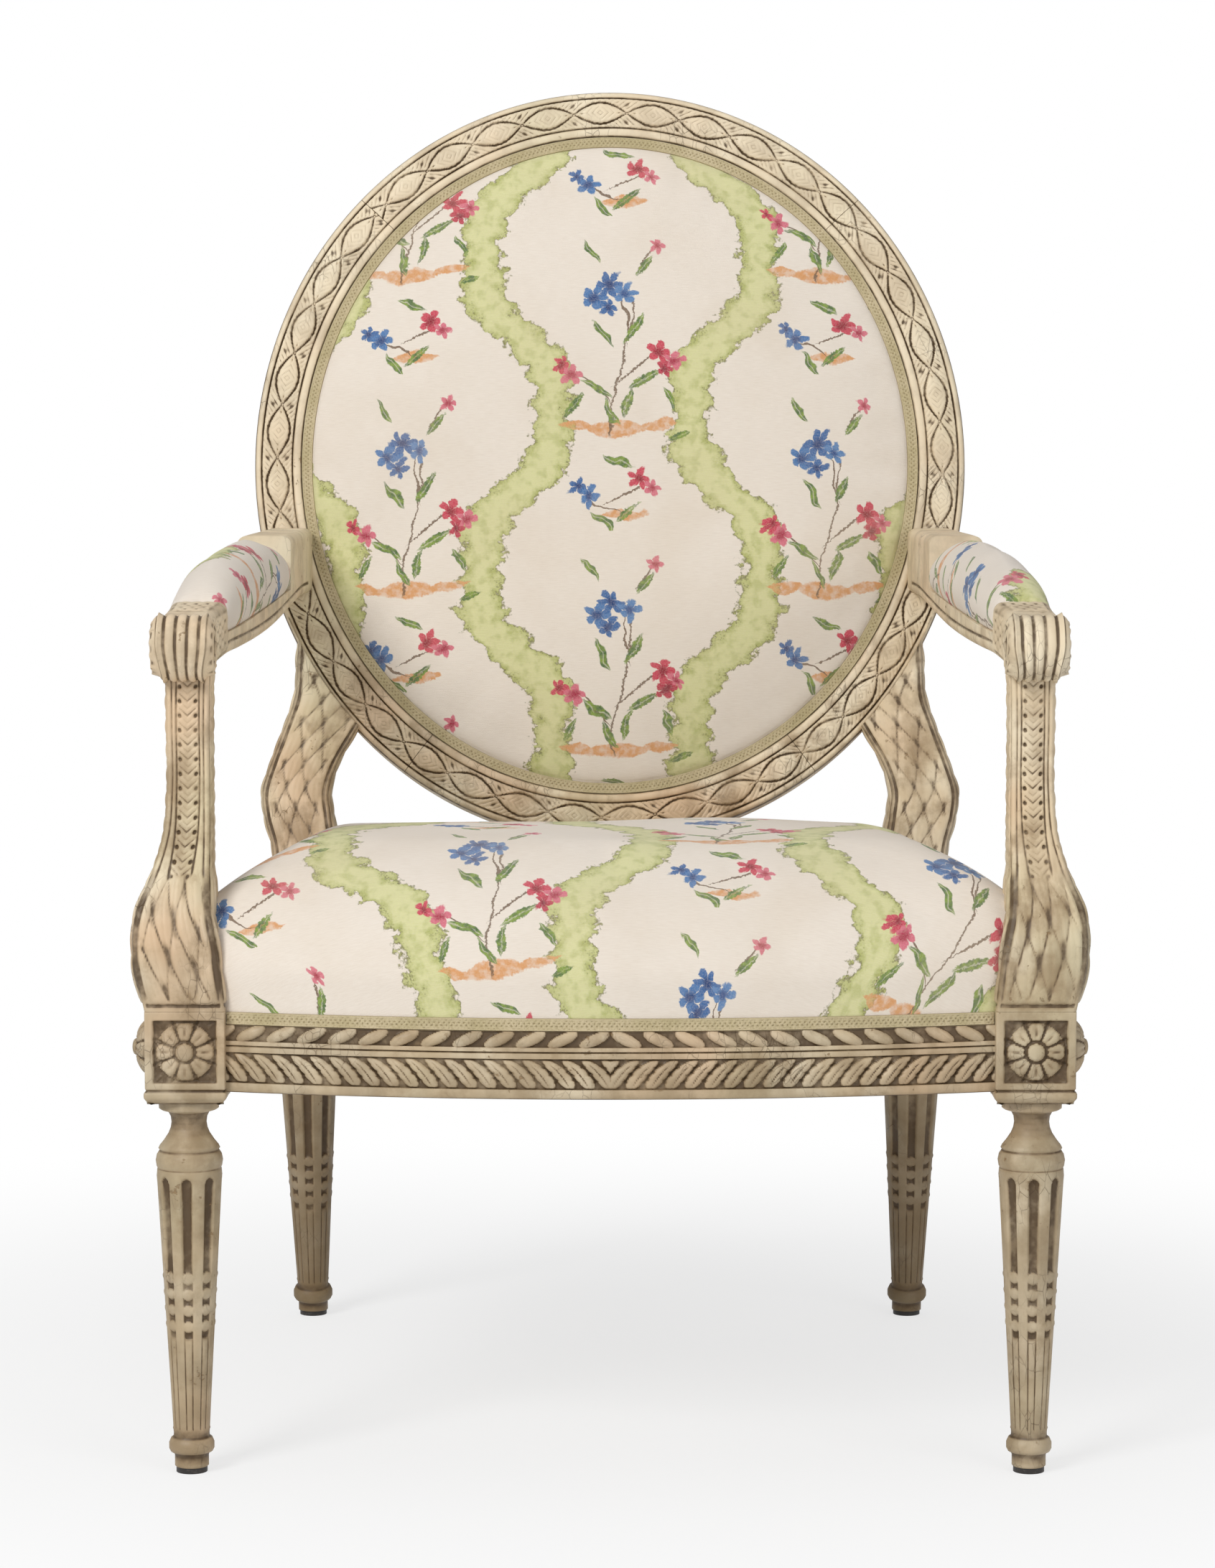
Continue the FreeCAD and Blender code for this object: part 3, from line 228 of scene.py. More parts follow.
@dataclass
class Shell:
    """Patches of points that together become one mesh."""

    name: str
    points: list[np.ndarray] = field(default_factory=list)
    quads: list[np.ndarray] = field(default_factory=list)
    hollows: list[np.ndarray] = field(default_factory=list)
    cloth: list[np.ndarray] = field(default_factory=list)
    count: int = 0

    def grid(self, points: np.ndarray, wrap_rows: bool = False, wrap_columns: bool = False,
             hollow: Optional[np.ndarray] = None, cloth: Optional[np.ndarray] = None,
             caps: bool = False) -> None:
        """Add a grid of points joined by quads.

        Args:
            points: rows by columns by 3, in millimetres.
            wrap_rows: whether the last row meets the first.
            wrap_columns: whether the last column meets the first.
            hollow: how deep each point lies in the carving, 0 to 1.
            cloth: flat place of each point on its cloth, in millimetres.
            caps: whether the first and last rows are closed to their middles.
        """
        rows, columns = points.shape[:2]
        hollow = np.zeros((rows, columns)) if hollow is None else hollow
        cloth = points[..., :2] if cloth is None else cloth
        index = self.count + np.arange(rows * columns).reshape(rows, columns)
        if wrap_rows:
            index = np.vstack([index, index[:1]])
        if wrap_columns:
            index = np.hstack([index, index[:, :1]])
        quads = np.stack([index[:-1, :-1], index[1:, :-1], index[1:, 1:], index[:-1, 1:]], axis=-1)
        self.points.append(points.reshape(-1, 3))
        self.hollows.append(hollow.reshape(-1))
        self.cloth.append(cloth.reshape(-1, 2))
        self.quads.append(quads.reshape(-1, 4))
        self.count += rows * columns
        if caps:
            for row, ring in ((0, index[0]), (-1, index[-1][::-1])):
                self.points.append(points[row].mean(axis=0)[None])
                self.hollows.append(np.zeros(1))
                self.cloth.append(cloth[row].mean(axis=0)[None])
                tip = np.full(len(ring) - 1, self.count)
                self.quads.append(np.stack([ring[:-1], ring[1:], tip, tip], axis=-1))
                self.count += 1

    def make(self, material: bpy.types.Material, sharp: Optional[float] = None) -> bpy.types.Object:
        """Turn the patches into an object.

        Args:
            material: finish of the whole piece.
            sharp: edges bent by more than this many degrees stay crisp.

        Returns:
            The new object, riding on the chair.
        """
        mesh = bpy.data.meshes.new(self.name)
        points = PLACE.to_metres(np.vstack(self.points))
        quads = np.vstack(self.quads)
        faces = [tuple(q[:3]) if q[2] == q[3] else tuple(q) for q in quads.tolist()]
        mesh.from_pydata(points.tolist(), [], faces)
        store = mesh.attributes.new("hollow", "FLOAT", "POINT")
        store.data.foreach_set("value", np.concatenate(self.hollows).astype(np.float32))
        corners = np.zeros(len(mesh.loops), np.int32)
        mesh.loops.foreach_get("vertex_index", corners)
        flat = np.vstack(self.cloth)[corners] * MM
        layer = mesh.uv_layers.new(name="Cloth")
        layer.data.foreach_set("uv", flat.astype(np.float32).ravel())
        work = bmesh.new()
        work.from_mesh(mesh)
        bmesh.ops.remove_doubles(work, verts=work.verts, dist=1e-6)
        bmesh.ops.recalc_face_normals(work, faces=work.faces)
        work.to_mesh(mesh)
        work.free()
        mesh.polygons.foreach_set("use_smooth", [True] * len(mesh.polygons))
        if sharp is not None:
            mesh.set_sharp_from_angle(angle=math.radians(sharp))
        mesh.materials.append(material)
        mesh.update()
        piece = bpy.data.objects.new(self.name, mesh)
        bpy.context.scene.collection.objects.link(piece)
        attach(piece, "root")
        return piece


def cavity(height: np.ndarray, reach: int = 3, scale: float = 0.55, wrap_rows: bool = False,
           wrap_columns: bool = False) -> np.ndarray:
    """Find where carving is deeper than its surroundings: close by for the glaze in the cuts, and widely for a
    soft halo of painted shade round them.

    Args:
        height: carved height in millimetres on a grid.
        reach: neighbours that count as surroundings.
        scale: depth in millimetres that counts as fully hollow.
        wrap_rows: whether the last row meets the first.
        wrap_columns: whether the last column meets the first.

    Returns:
        0 on open wood to 1 in the deepest cuts.
    """
    near = (blur(height, reach, wrap_rows, wrap_columns) - height) / scale
    # painted shade: the wide blur spreads a soft halo of shade round the carving
    far = (blur(height, 3 * reach, wrap_rows, wrap_columns) - height) / (1.9 * scale)
    return np.clip(np.maximum(near, 0.8 * far), 0, 1)


@dataclass
class Ring:
    """Rounded rectangular outlines, one for each station of a shaped member."""

    front_steps: int = 34
    side_steps: int = 24
    corner_steps: int = 4

    def trace(self, width: np.ndarray, deep: np.ndarray, radius: np.ndarray
              ) -> tuple[np.ndarray, np.ndarray, np.ndarray, np.ndarray]:
        """Walk round each outline: front, right, back, then left.

        Args:
            width: width of each outline.
            deep: depth of each outline.
            radius: rounding of its corners.

        Returns:
            Points and outward normals (stations by steps by 2), the face that each step lies on
            (0 to 3, or -1 on a corner), and the distance from the middle of its face.
        """
        half_w, half_d = width / 2 - radius, deep / 2 - radius
        spots, normals, faces, along = [], [], [], []
        sides = ((0, -1, self.front_steps), (1, 0, self.side_steps),
                 (0, 1, self.front_steps), (-1, 0, self.side_steps))
        for face, (nx, ny, steps) in enumerate(sides):
            reach = half_w if nx == 0 else half_d
            for share in np.linspace(-1, 1, steps):
                x = (-ny * share * half_w) if nx == 0 else nx * width / 2
                y = ny * deep / 2 if nx == 0 else nx * share * half_d
                spots.append(np.stack([x + 0 * width, y + 0 * width], axis=-1))
                normals.append((nx, ny))
                faces.append(face)
                along.append(share * reach)
            start = math.atan2(ny, nx)
            for turn in np.linspace(0, math.pi / 2, self.corner_steps + 2)[1:-1]:
                dx, dy = math.cos(start + turn), math.sin(start + turn)
                cx, cy = math.copysign(1, dx) * half_w, math.copysign(1, dy) * half_d
                spots.append(np.stack([cx + radius * dx, cy + radius * dy], axis=-1))
                normals.append((dx, dy))
                faces.append(-1)
                along.append(0 * width)
        count = len(spots)
        normal = np.broadcast_to(np.asarray(normals), (len(width), count, 2))
        return np.stack(spots, axis=1), normal, np.asarray(faces), np.stack(along, axis=1)


# ---- Carved ornament: heights in millimetres from the distance along a band and from its middle ----
@dataclass(frozen=True)
class Lattice:
    """Laurel leaves that cross each other and leave pointed lozenges between them."""

    pitch: float = 47.0
    half: float = 12.0
    depth: float = 2.0

    def __call__(self, along: np.ndarray, across: np.ndarray) -> np.ndarray:
        """Height of the band.

        Args:
            along: distance along the band from the middle of the top.
            across: distance from the band's middle line.

        Returns:
            Height over the band's bed.
        """
        turn = np.sin(math.pi * along / self.pitch)
        swing = 0.74 * self.half * turn
        dome = 1.5 * np.sqrt(np.clip(1 - (across / (self.half * 1.05)) ** 2, 0, 1))
        cut = groove(across - swing, 0.9) + groove(across + swing, 0.9)
        wide = 0.74 * self.half * np.abs(turn)
        inside = np.clip(1 - (across / np.maximum(wide, 0.5)) ** 2, 0, 1)
        rib = groove(across - swing * 1.28, 1.3) + groove(across + swing * 1.28, 1.3)
        vein = groove(across, 0.5) * ease(0.25, 0.6, 1 - np.abs(turn))
        half_step = np.mod(along / self.pitch, 1.0)
        tips = groove((np.abs(half_step - 0.5) - 0.5) * self.pitch, 2.6) * groove(np.abs(across) - 7.5, 2.4)
        barb = groove(np.mod((along + np.abs(across) * 1.3) / 5.2, 1.0) - 0.5, 0.17)
        barb = barb * (inside <= 0) * ease(2.0, 4.0, np.abs(across))
        dome = dome + 1.3 * np.sqrt(inside) + 0.6 * rib - 0.9 * barb
        spread = np.abs(across) * 1.1 + np.abs(half_step - 0.5) * self.pitch
        fan = groove(np.mod(spread / 4.8, 1.0) - 0.5, 0.15)
        dome = dome - 0.55 * fan * (inside > 0.12)
        return dome - self.depth * np.clip(cut, 0, 1) - 0.9 * vein - 1.5 * tips


@dataclass(frozen=True)
class TwistedRibbon:
    """Ribbon wound round a rod, slanting one way on the left half and the other on the right."""

    pitch: float = 22.0
    half: float = 5.5
    rise: float = 4.2

    def __call__(self, along: np.ndarray, across: np.ndarray) -> np.ndarray:
        """Height of the row.

        Args:
            along: distance from the rail's middle.
            across: distance above the row's middle.

        Returns:
            Height over the row's bed.
        """
        step = np.mod((np.abs(along) + across * 1.15) / self.pitch, 1.0) - 0.5
        tip = np.clip(1 - (np.abs(across) / self.half) ** 2.2, 0, 1)
        fat = np.clip(1 - (step / (0.20 + 0.17 * tip)) ** 2, 0, 1)
        crease = groove(step - 0.09, 0.045) * ease(0.1, 0.5, tip)
        return self.rise * (0.35 + 0.65 * tip) * np.sqrt(fat) * (tip > 0) - 0.5 * crease


@dataclass(frozen=True)
class LeafRow:
    """Row of slanting rounded leaves, each with a midrib, mirrored about the rail's middle."""

    pitch: float = 13.6
    half: float = 10.0
    rise: float = 3.4

    def __call__(self, along: np.ndarray, across: np.ndarray) -> np.ndarray:
        """Height of the row.

        Args:
            along: distance from the rail's middle.
            across: distance above the row's middle.

        Returns:
            Height over the row's bed.
        """
        place = np.abs(along) / self.pitch - across * 0.062 - 0.0016 * across ** 2
        step = np.mod(place, 1.0) - 0.5
        kind = chance(np.floor(place), 3.0)
        body = np.clip(1 - np.abs(across / self.half) ** 3, 0, 1)
        fat = np.clip(1 - (np.abs(step) / (0.26 + 0.21 * body)) ** 2.4, 0, 1)
        rib = groove(step - 0.05 * kind, 0.055)
        notch = groove(np.mod(across + 3 * kind, 5.2) - 2.6, 0.75) * ease(0.2, 0.4, np.abs(step))
        return self.rise * (0.3 + 0.7 * body) * np.sqrt(fat) * (body > 0) - (1.1 * rib + 1.1 * notch) * body


@dataclass(frozen=True)
class Chevrons:
    """Husks stacked in a chain between two plain fillets, with a drilled dot at each side."""

    pitch: float = 10.2
    half: float = 8.0

    def __call__(self, along: np.ndarray, across: np.ndarray) -> np.ndarray:
        """Height of the chain.

        Args:
            along: distance along the member.
            across: distance from the chain's middle.

        Returns:
            Height over the member's face.
        """
        inside = ease(0, 1.6, self.half - np.abs(across))
        step = np.mod((along - np.abs(across) * 0.9) / self.pitch, 1.0)
        vee = groove(step - 0.5, 0.13)
        dots = groove(np.mod(along, self.pitch) - self.pitch / 2, 1.7) * groove(np.abs(across) - 5.7, 1.4)
        edge = groove(np.abs(across) - self.half, 0.8)
        return inside * (0.7 * np.sin(math.pi * step) - 1.0 * vee) - 2.4 * dots - 1.3 * edge


@dataclass(frozen=True)
class Fronds:
    """Long pointed leaves laid over each other like scales."""

    pitch: float = 25.0
    width: float = 9.5
    rise: float = 2.6

    def __call__(self, along: np.ndarray, across: np.ndarray) -> np.ndarray:
        """Height of the leaves.

        Args:
            along: distance along the leaves, growing towards their tips.
            across: distance from the middle leaf.

        Returns:
            Height over the member's face.
        """
        best = np.zeros(np.broadcast(along, across).shape)
        for layer in (0.0, 0.5):
            x = np.mod(across / self.width + layer, 1.0) - 0.5
            y = np.mod(along / self.pitch + layer, 1.0) - 0.5
            inside = np.clip(1 - np.abs(2 * x) - np.abs(2 * y) ** 1.7, 0, 1)
            vein = groove(x, 0.085) * ease(0.1, 0.4, inside)
            best = np.maximum(best, inside ** 0.65 * (0.9 + 0.3 * y) - 0.24 * vein)
        return self.rise * best


def rosette(across: np.ndarray, up: np.ndarray, radius: float, petals: int = 8) -> np.ndarray:
    """Carved flower in a square.

    Args:
        across: distance from the middle, sideways.
        up: distance from the middle, upwards.
        radius: the flower's outer radius.
        petals: how many petals it has.

    Returns:
        Height over the square's bed.
    """
    r = np.hypot(across, up)
    angle = np.arctan2(up, across)
    lobe = np.abs(np.cos(petals * angle / 2))
    reach = radius * (0.80 + 0.20 * lobe)
    leaf = np.clip(1 - (r / reach) ** 3, 0, 1) ** 0.5
    cut = groove(r * np.sin(np.arccos(np.clip(lobe, 0, 1)) * 2 / petals - math.pi / petals), 0.9)
    vein = groove(lobe - 1, 0.05) * ease(0.3, 0.5, r / radius)
    boss = np.clip(1 - (r / (0.30 * radius)) ** 2, 0, 1) ** 0.5
    moat = groove(r - 0.36 * radius, 1.3)
    return 3.4 * leaf - 2.0 * cut * ease(0.3, 0.45, r / radius) - 0.8 * vein + 2.0 * boss - 2.2 * moat


# ---- Finishes ----
class Wire:
    """Number on its way through a node tree; arithmetic on it adds Math nodes."""

    def __init__(self, graph: "Graph", socket: Optional[bpy.types.NodeSocket]) -> None:
        """Note where the number comes from."""
        self.graph = graph
        self.socket = socket

    def __add__(self, other: "Wire | float") -> "Wire":
        """Sum of the two."""
        return self.graph.add("Math", self, other, operation="ADD")

    def __sub__(self, other: "Wire | float") -> "Wire":
        """Difference of the two."""
        return self.graph.add("Math", self, other, operation="SUBTRACT")

    def __mul__(self, other: "Wire | float") -> "Wire":
        """Product of the two."""
        return self.graph.add("Math", self, other, operation="MULTIPLY")

    def __truediv__(self, other: "Wire | float") -> "Wire":
        """Quotient of the two."""
        return self.graph.add("Math", self, other, operation="DIVIDE")

    def __abs__(self) -> "Wire":
        """Number without its sign."""
        return self.graph.add("Math", self, operation="ABSOLUTE")


class Graph:
    """Node tree of a material or of the world, being put together."""

    def __init__(self, owner: "bpy.types.Material | bpy.types.World") -> None:
        """Empty the owner's node tree.

        Args:
            owner: the material or world that the tree belongs to.
        """
        owner.use_nodes = True
        self.owner = owner
        self.tree = owner.node_tree
        self.tree.nodes.clear()

    def add(self, kind: str, *inputs: object, output: "int | str" = 0, **settings: object) -> Wire:
        """Add a node with its settings and links.

        Args:
            kind: type of node, without the words that all types start with.
            inputs: a number, a colour code or a wire for each input in turn; a table names its inputs.
            output: which output to hand back.
            settings: the node's own settings.

        Returns:
            The chosen output, if the node has one.
        """
        node = self.tree.nodes.new("ShaderNode" + kind)
        for key, value in settings.items():
            setattr(node, key, value)
        table = {}
        for index, value in enumerate(inputs):
            table.update(value if isinstance(value, dict) else {index: value})
        for key, value in table.items():
            if isinstance(value, Wire):
                self.tree.links.new(value.socket, node.inputs[key])
            else:
                node.inputs[key].default_value = linear(value) if isinstance(value, str) else value
        return Wire(self, node.outputs[output] if node.outputs else None)


@dataclass(frozen=True)
class AgedPaint:
    """Cream paint over a glaze that stays in the hollows, worn and finely cracked."""

    name: str = "Painted_wood"
    base: str = "#dcc6a3"
    light: str = "#eedfc2"
    warm: str = "#d9b28c"
    cool: str = "#c6bf98"
    glaze: str = "#4f3b22"
    dirt_and_shade: str = "#886c47"
    grey: str = "#978466"
    rear: str = "#6f5a3c"  # painted shade: the rear legs, in the shade under the seat, are painted darker and browner

    def make(self) -> bpy.types.Material:
        """Build the paint.

        Clouds of four tints break the cream up, as hand-laid paint does; legs grow browner towards the floor
        and the frame paler towards the top. The rear legs below the seat get painted shade, darker and browner.
        Brown glaze lies in the cuts that the "hollow" attribute marks, which draws the carving, and its wide
        soft halo round the carving is painted shade. Fine cracks, chips and a shallow bump make the coat look
        old and dry.

        Returns:
            The material.
        """
        g = Graph(bpy.data.materials.new(self.name))
        spot = g.add("TexCoord", output="Object")
        hollow = g.add("Attribute", output="Fac", attribute_name="hollow")
        back, height = (g.add("SeparateXYZ", spot, output=axis) for axis in (1, 2))
        grains = ((22, 3, 0.5), (9, 2, 0.5), (34, 5, 0.62), (40, 4, 0.5), (28, 3, 0.5), (150, 3, 0.5),
                  (120, 5, 0.7), (12, 3, 0.5), (260, 4, 0.5), (60, 3, 0.5))
        noise = {scale: g.add("TexNoise", {"Vector": spot, "Scale": scale, "Detail": detail,
                                           "Roughness": rough})
                 for scale, detail, rough in grains}
        run, wide, tall = (g.add("Mapping", {"Vector": spot, "Scale": scale})
                           for scale in ((55, 55, 9), (1.3, 1, 1), (1, 1, 0.45)))
        streak = g.add("TexNoise", {"Vector": run, "Scale": 1.0, "Detail": 4.0})
        cloud = g.add("TexNoise", {"Vector": wide, "Scale": 7.3, "Detail": 2.0})
        patch = g.add("MapRange", noise[28], 0.3, 0.7, 0.6, 1.2, **STEP)
        patch = patch * g.add("MapRange", noise[150], 0.3, 0.7, 0.7, 1.15, **STEP)
        crack = g.add("TexVoronoi", {"Vector": tall, "Scale": 150}, feature="DISTANCE_TO_EDGE")
        crack = g.add("MapRange", crack, 0.0, 0.035, 1, 0, **STEP)
        crack = crack * g.add("MapRange", noise[22], 0.5, 0.68, **STEP)
        chip = g.add("MapRange", noise[120], 0.63, 0.68, **STEP)
        chip = chip * g.add("MapRange", noise[12], 0.46, 0.6, **STEP)
        foot = g.add("MapRange", height, 0.26, 0.46, 0.72, 0.0, **STEP)
        foot = foot * g.add("MapRange", noise[40], 0.25, 0.75, 0.55, 1.1, **STEP)
        # painted shade: darker and browner low down at the rear, for the shade under the seat
        behind = g.add("MapRange", back, 0.12, 0.24, **STEP)
        behind = behind * g.add("MapRange", height, 0.30, 0.44, 0.72, 0.0, **STEP)
        cut = g.add("MapRange", hollow, 0.05, 0.8, **STEP) * patch
        layers = (
            (g.add("MapRange", noise[22], 0.35, 0.68, **STEP), self.light),
            (g.add("MapRange", noise[9], 0.48, 0.72, 0, 0.6, **STEP), self.warm),
            (g.add("MapRange", cloud, 0.5, 0.75, 0, 0.55, **STEP), self.cool),
            (g.add("MapRange", streak, 0.40, 0.78, 0, 0.45, **STEP), self.dirt_and_shade),
            (g.add("MapRange", noise[34], 0.44, 0.68, 0, 0.6, **STEP), self.dirt_and_shade),
            (foot, self.grey),
            (g.add("MapRange", height, 0.42, 0.72, 0.0, 0.5, **STEP), self.light),
            (behind, self.rear),
            # painted shade: a brown wash and glaze over the soft halo round the carving; the cuts hold real
            # glaze
            (g.add("MapRange", hollow, 0.0, 0.35, 0.0, 0.38, **STEP) * patch, self.dirt_and_shade),
            (g.add("MapRange", cut, 0.0, 1.0, 0.0, 0.93, **STEP), self.glaze),
            (crack * 0.5, self.glaze),
            (chip * 0.75, self.dirt_and_shade),
        )
        tone = self.base
        for share, code in layers:
            tone = g.add("Mix", share, {6: tone, 7: code}, output=2, **COLOUR)
        coat = noise[260] + streak * 1.2 - crack * 1.5 - chip * 1.6
        relief = g.add("Bump", {"Height": coat, "Distance": 0.16 * MM})
        rough = g.add("MapRange", noise[60], 0.3, 0.7, 0.48, 0.68, **STEP)
        look = g.add("BsdfPrincipled", {"Base Color": tone, "Roughness": rough, "Normal": relief})
        g.add("OutputMaterial", look)
        return g.owner


@dataclass(frozen=True)
class BareWood:
    """Unpainted beech with its grain and small flecks."""

    name: str = "Bare_beech"
    pale: str = "#c79f72"
    dark: str = "#a2764a"

    def make(self) -> bpy.types.Material:
        """Build the wood.

        Stretched noise gives the straight grain of a sawn block, and short flecks make it read as beech.

        Returns:
            The material.
        """
        g = Graph(bpy.data.materials.new(self.name))
        spot = g.add("TexCoord", output="Object")
        along, across = (g.add("Mapping", {"Vector": spot, "Scale": scale})
                         for scale in ((40, 180, 240), (140, 900, 900)))
        grain = g.add("TexNoise", {"Vector": along, "Scale": 1.0, "Detail": 5.0})
        fleck = g.add("TexNoise", {"Vector": across, "Scale": 1.0, "Detail": 2.0})
        fleck = g.add("MapRange", fleck, 0.62, 0.7, **STEP)
        tone = self.pale
        for share in (g.add("MapRange", grain, 0.3, 0.7, **STEP), fleck * 0.5):
            tone = g.add("Mix", share, {6: tone, 7: self.dark}, output=2, **COLOUR)
        rough = g.add("MapRange", grain, 0.2, 0.8, 0.5, 0.66, **STEP)
        relief = g.add("Bump", {"Height": grain - fleck, "Distance": 0.15 * MM})
        look = g.add("BsdfPrincipled", {"Base Color": tone, "Roughness": rough, "Normal": relief})
        g.add("OutputMaterial", look)
        return g.owner


@dataclass(frozen=True)
class Motif:
    """One flower of the print: its place in the repeat, its size and its two colours."""

    across: float
    up: float
    radius: float
    petals: int
    edge: str
    heart: str


@dataclass(frozen=True)
class Leaf:
    """One leaf or stem of the print, in millimetres and degrees."""

    across: float
    up: float
    turn: float
    length: float
    width: float


@dataclass(frozen=True)
class PrintedCotton:
    """Cotton printed with waving ribbons and flower sprays between them, in half drop."""

    name: str = "Printed_cotton"
    ground: str = "#f3e8da"
    ribbon: str = "#e0dea4"
    shade: str = "#b9bd70"
    edging: str = "#6f6c34"
    stem: str = "#6d5136"
    leaf: str = "#86a03e"
    leaf_dark: str = "#4f6f3a"
    aged: str = "#d8c4a8"
    slub: str = "#c8b292"
    mound: str = "#e2a064"
    column: float = 170.0
    repeat: float = 264.0
    swing: float = 33.0
    thread: float = 0.62
    enlarge: float = 1.2
    flowers: tuple[Motif, ...] = (
        Motif(-17, 52, 9, 5, "#4f82ba", "#23467e"), Motif(-7, 61, 9.5, 6, "#3f70aa", "#1f3f76"),
        Motif(4, 55, 8, 5, "#5d8cc0", "#28508a"), Motif(-9, 44, 7, 5, "#3f70aa", "#1f3f76"),
        Motif(27, 14, 9, 5, "#d8485e", "#98182f"), Motif(37, 8, 7, 5, "#e2788a", "#b02c48"),
        Motif(30, 2, 6.5, 5, "#c83a52", "#8c1c34"), Motif(-33, -2, 8, 5, "#e2788a", "#b02c48"),
        Motif(-41, 4, 6, 5, "#d8485e", "#98182f"), Motif(12, -74, 8, 5, "#d8485e", "#98182f"),
        Motif(21, -80, 6.5, 5, "#e2788a", "#b02c48"), Motif(-22, -86, 8, 5, "#4f82ba", "#23467e"),
        Motif(-30, -80, 6, 5, "#3f70aa", "#1f3f76"), Motif(24, 88, 6, 5, "#e2788a", "#b02c48"),
    )
    leaves: tuple[Leaf, ...] = (Leaf(9, 30, 60, 13, 3.2), Leaf(-12, 26, 125, 13, 3.2),
                                Leaf(15, -6, 30, 14, 3.4), Leaf(-17, -12, 155, 14, 3.4),
                                Leaf(4, -22, 75, 12, 3.0), Leaf(-7, -28, 110, 12, 3.0),
                                Leaf(-33, -24, 60, 10, 2.8), Leaf(32, -20, 120, 10, 2.8),
                                Leaf(-2, -62, 160, 12, 3.0), Leaf(3, -98, 40, 12, 3.0),
                                Leaf(-12, -104, 130, 12, 3.0), Leaf(16, 74, 50, 11, 2.8),
                                Leaf(-20, 84, 120, 11, 2.8), Leaf(40, -44, 20, 9, 2.6),)
    stalks: tuple[Leaf, ...] = (
        Leaf(12, 4, 40, 24, 0.8), Leaf(-19, -10, 140, 22, 0.8), Leaf(4, -84, 25, 18, 0.8),
        Leaf(-13, -92, 155, 16, 0.8), Leaf(17, 80, 55, 14, 0.7), Leaf(3, 38, 100, 22, 0.8),
    )
    mounds: tuple[Leaf, ...] = (Leaf(-4, -40, 0, 24, 6.5), Leaf(25, -37, 8, 15, 4.5), Leaf(-30, -38, -6, 13, 4),
                                Leaf(2, -99, 0, 17, 4.5),)

    def petals(self, g: Graph, across: Wire, up: Wire, motif: Motif) -> tuple[Wire, Wire]:
        """Draw one flower.

        Args:
            g: the material.
            across: place in the repeat, sideways.
            up: place in the repeat, upwards.
            motif: the flower.

        Returns:
            Where the flower is, and how far towards its heart.
        """
        x, y = across - motif.across, up - motif.up
        r = g.add("Math", x * x + y * y, operation="SQRT")
        turn = g.add("Math", y, x, operation="ARCTAN2") * (motif.petals / 2)
        lobe = abs(g.add("Math", turn, operation="COSINE"))
        reach = (lobe * 0.52 + 0.5) * motif.radius
        inside = g.add("MapRange", reach - r, -0.5, 0.7, **STEP)
        gap = g.add("MapRange", lobe, 0.0, 0.22, 0.85, 0.0, **STEP)
        gap = gap * g.add("MapRange", r / motif.radius, 0.2, 0.5, **STEP)
        heart = g.add("MapRange", r / motif.radius, 0.1, 0.62, 1.0, 0.1, **STEP)
        return inside * (gap * -1.0 + 1.0), heart

    def leaf_shapes(self, g: Graph, u: Wire, v: Wire, shapes: Sequence[Leaf], rib: float) -> Wire:
        """Draw pointed shapes, such as leaves, stalks or mounds.

        Args:
            g: the material.
            u: place in the repeat, sideways.
            v: place in the repeat, upwards.
            shapes: what to draw.
            rib: how strongly a midrib shows, 0 to 1.

        Returns:
            Where the shapes are.
        """
        drawn = None
        for leaf in shapes:
            c, s = math.cos(math.radians(leaf.turn)), math.sin(math.radians(leaf.turn))
            p = ((u - leaf.across) * c + (v - leaf.up) * s) / leaf.length
            q = ((v - leaf.up) * c - (u - leaf.across) * s) / leaf.width
            inside = g.add("MapRange", p * p * -1.0 + 1.0 - abs(q), 0.0, 0.25, **STEP)
            inside = inside * g.add("MapRange", abs(q), 0.0, 0.2, 1 - rib, 1.0, **STEP) if rib else inside
            drawn = inside if drawn is None else g.add("Math", drawn, inside, operation="MAXIMUM")
        return drawn

    def make(self) -> bpy.types.Material:
        """Build the print.

        It is drawn in the cloth's own millimetres, so it turns over the padding with the cover. Noise frays
        and stipples the ribbons, as ink soaks in, and each petal deepens towards its heart. Crossed threads
        and slubs in the bump, with a little sheen, make the surface matt and soft.

        Returns:
            The material.
        """
        g = Graph(bpy.data.materials.new(self.name))
        place = g.add("UVMap", uv_map="Cloth")
        thread_x, thread_y = (g.add("SeparateXYZ", place, output=axis) * 1000.0 for axis in (0, 1))
        flat = g.add("CombineXYZ", thread_x, thread_y)
        grains = ((0.045, 2, 0.5), (0.5, 3, 0.5), (0.12, 4, 0.6), (0.35, 3, 0.5), (0.10, 3, 0.5),
                  (0.16, 3, 0.5), (0.2, 2, 0.5), (0.8, 3, 0.5), (0.011, 3, 0.5), (0.05, 2, 0.5))
        noise = {scale: g.add("TexNoise", {"Vector": flat, "Scale": scale, "Detail": detail,
                                           "Roughness": rough})
                 for scale, detail, rough in grains}
        wobble, fine = (noise[0.045] - 0.5) * 16.0, (noise[0.5] - 0.5) * 3.2
        ragged = (noise[0.12] - 0.5) * 26.0
        x, y = thread_x + wobble + fine, thread_y + wobble * 0.7 - fine
        band = g.add("Math", x / self.column + 0.5, operation="FLOOR")
        turn = y * (2 * math.pi / self.repeat) + band * math.pi
        off = x - band * self.column - g.add("Math", turn, operation="SINE") * self.swing
        off = abs(off - g.add("Math", turn * 3.0, operation="SINE") * 5.0)
        scallop = abs(g.add("Math", y * (math.pi / 21.0), operation="SINE")) * 5.0
        half = g.add("Math", turn * 2.0, operation="COSINE") * 4.0 + 15.5 + scallop + ragged
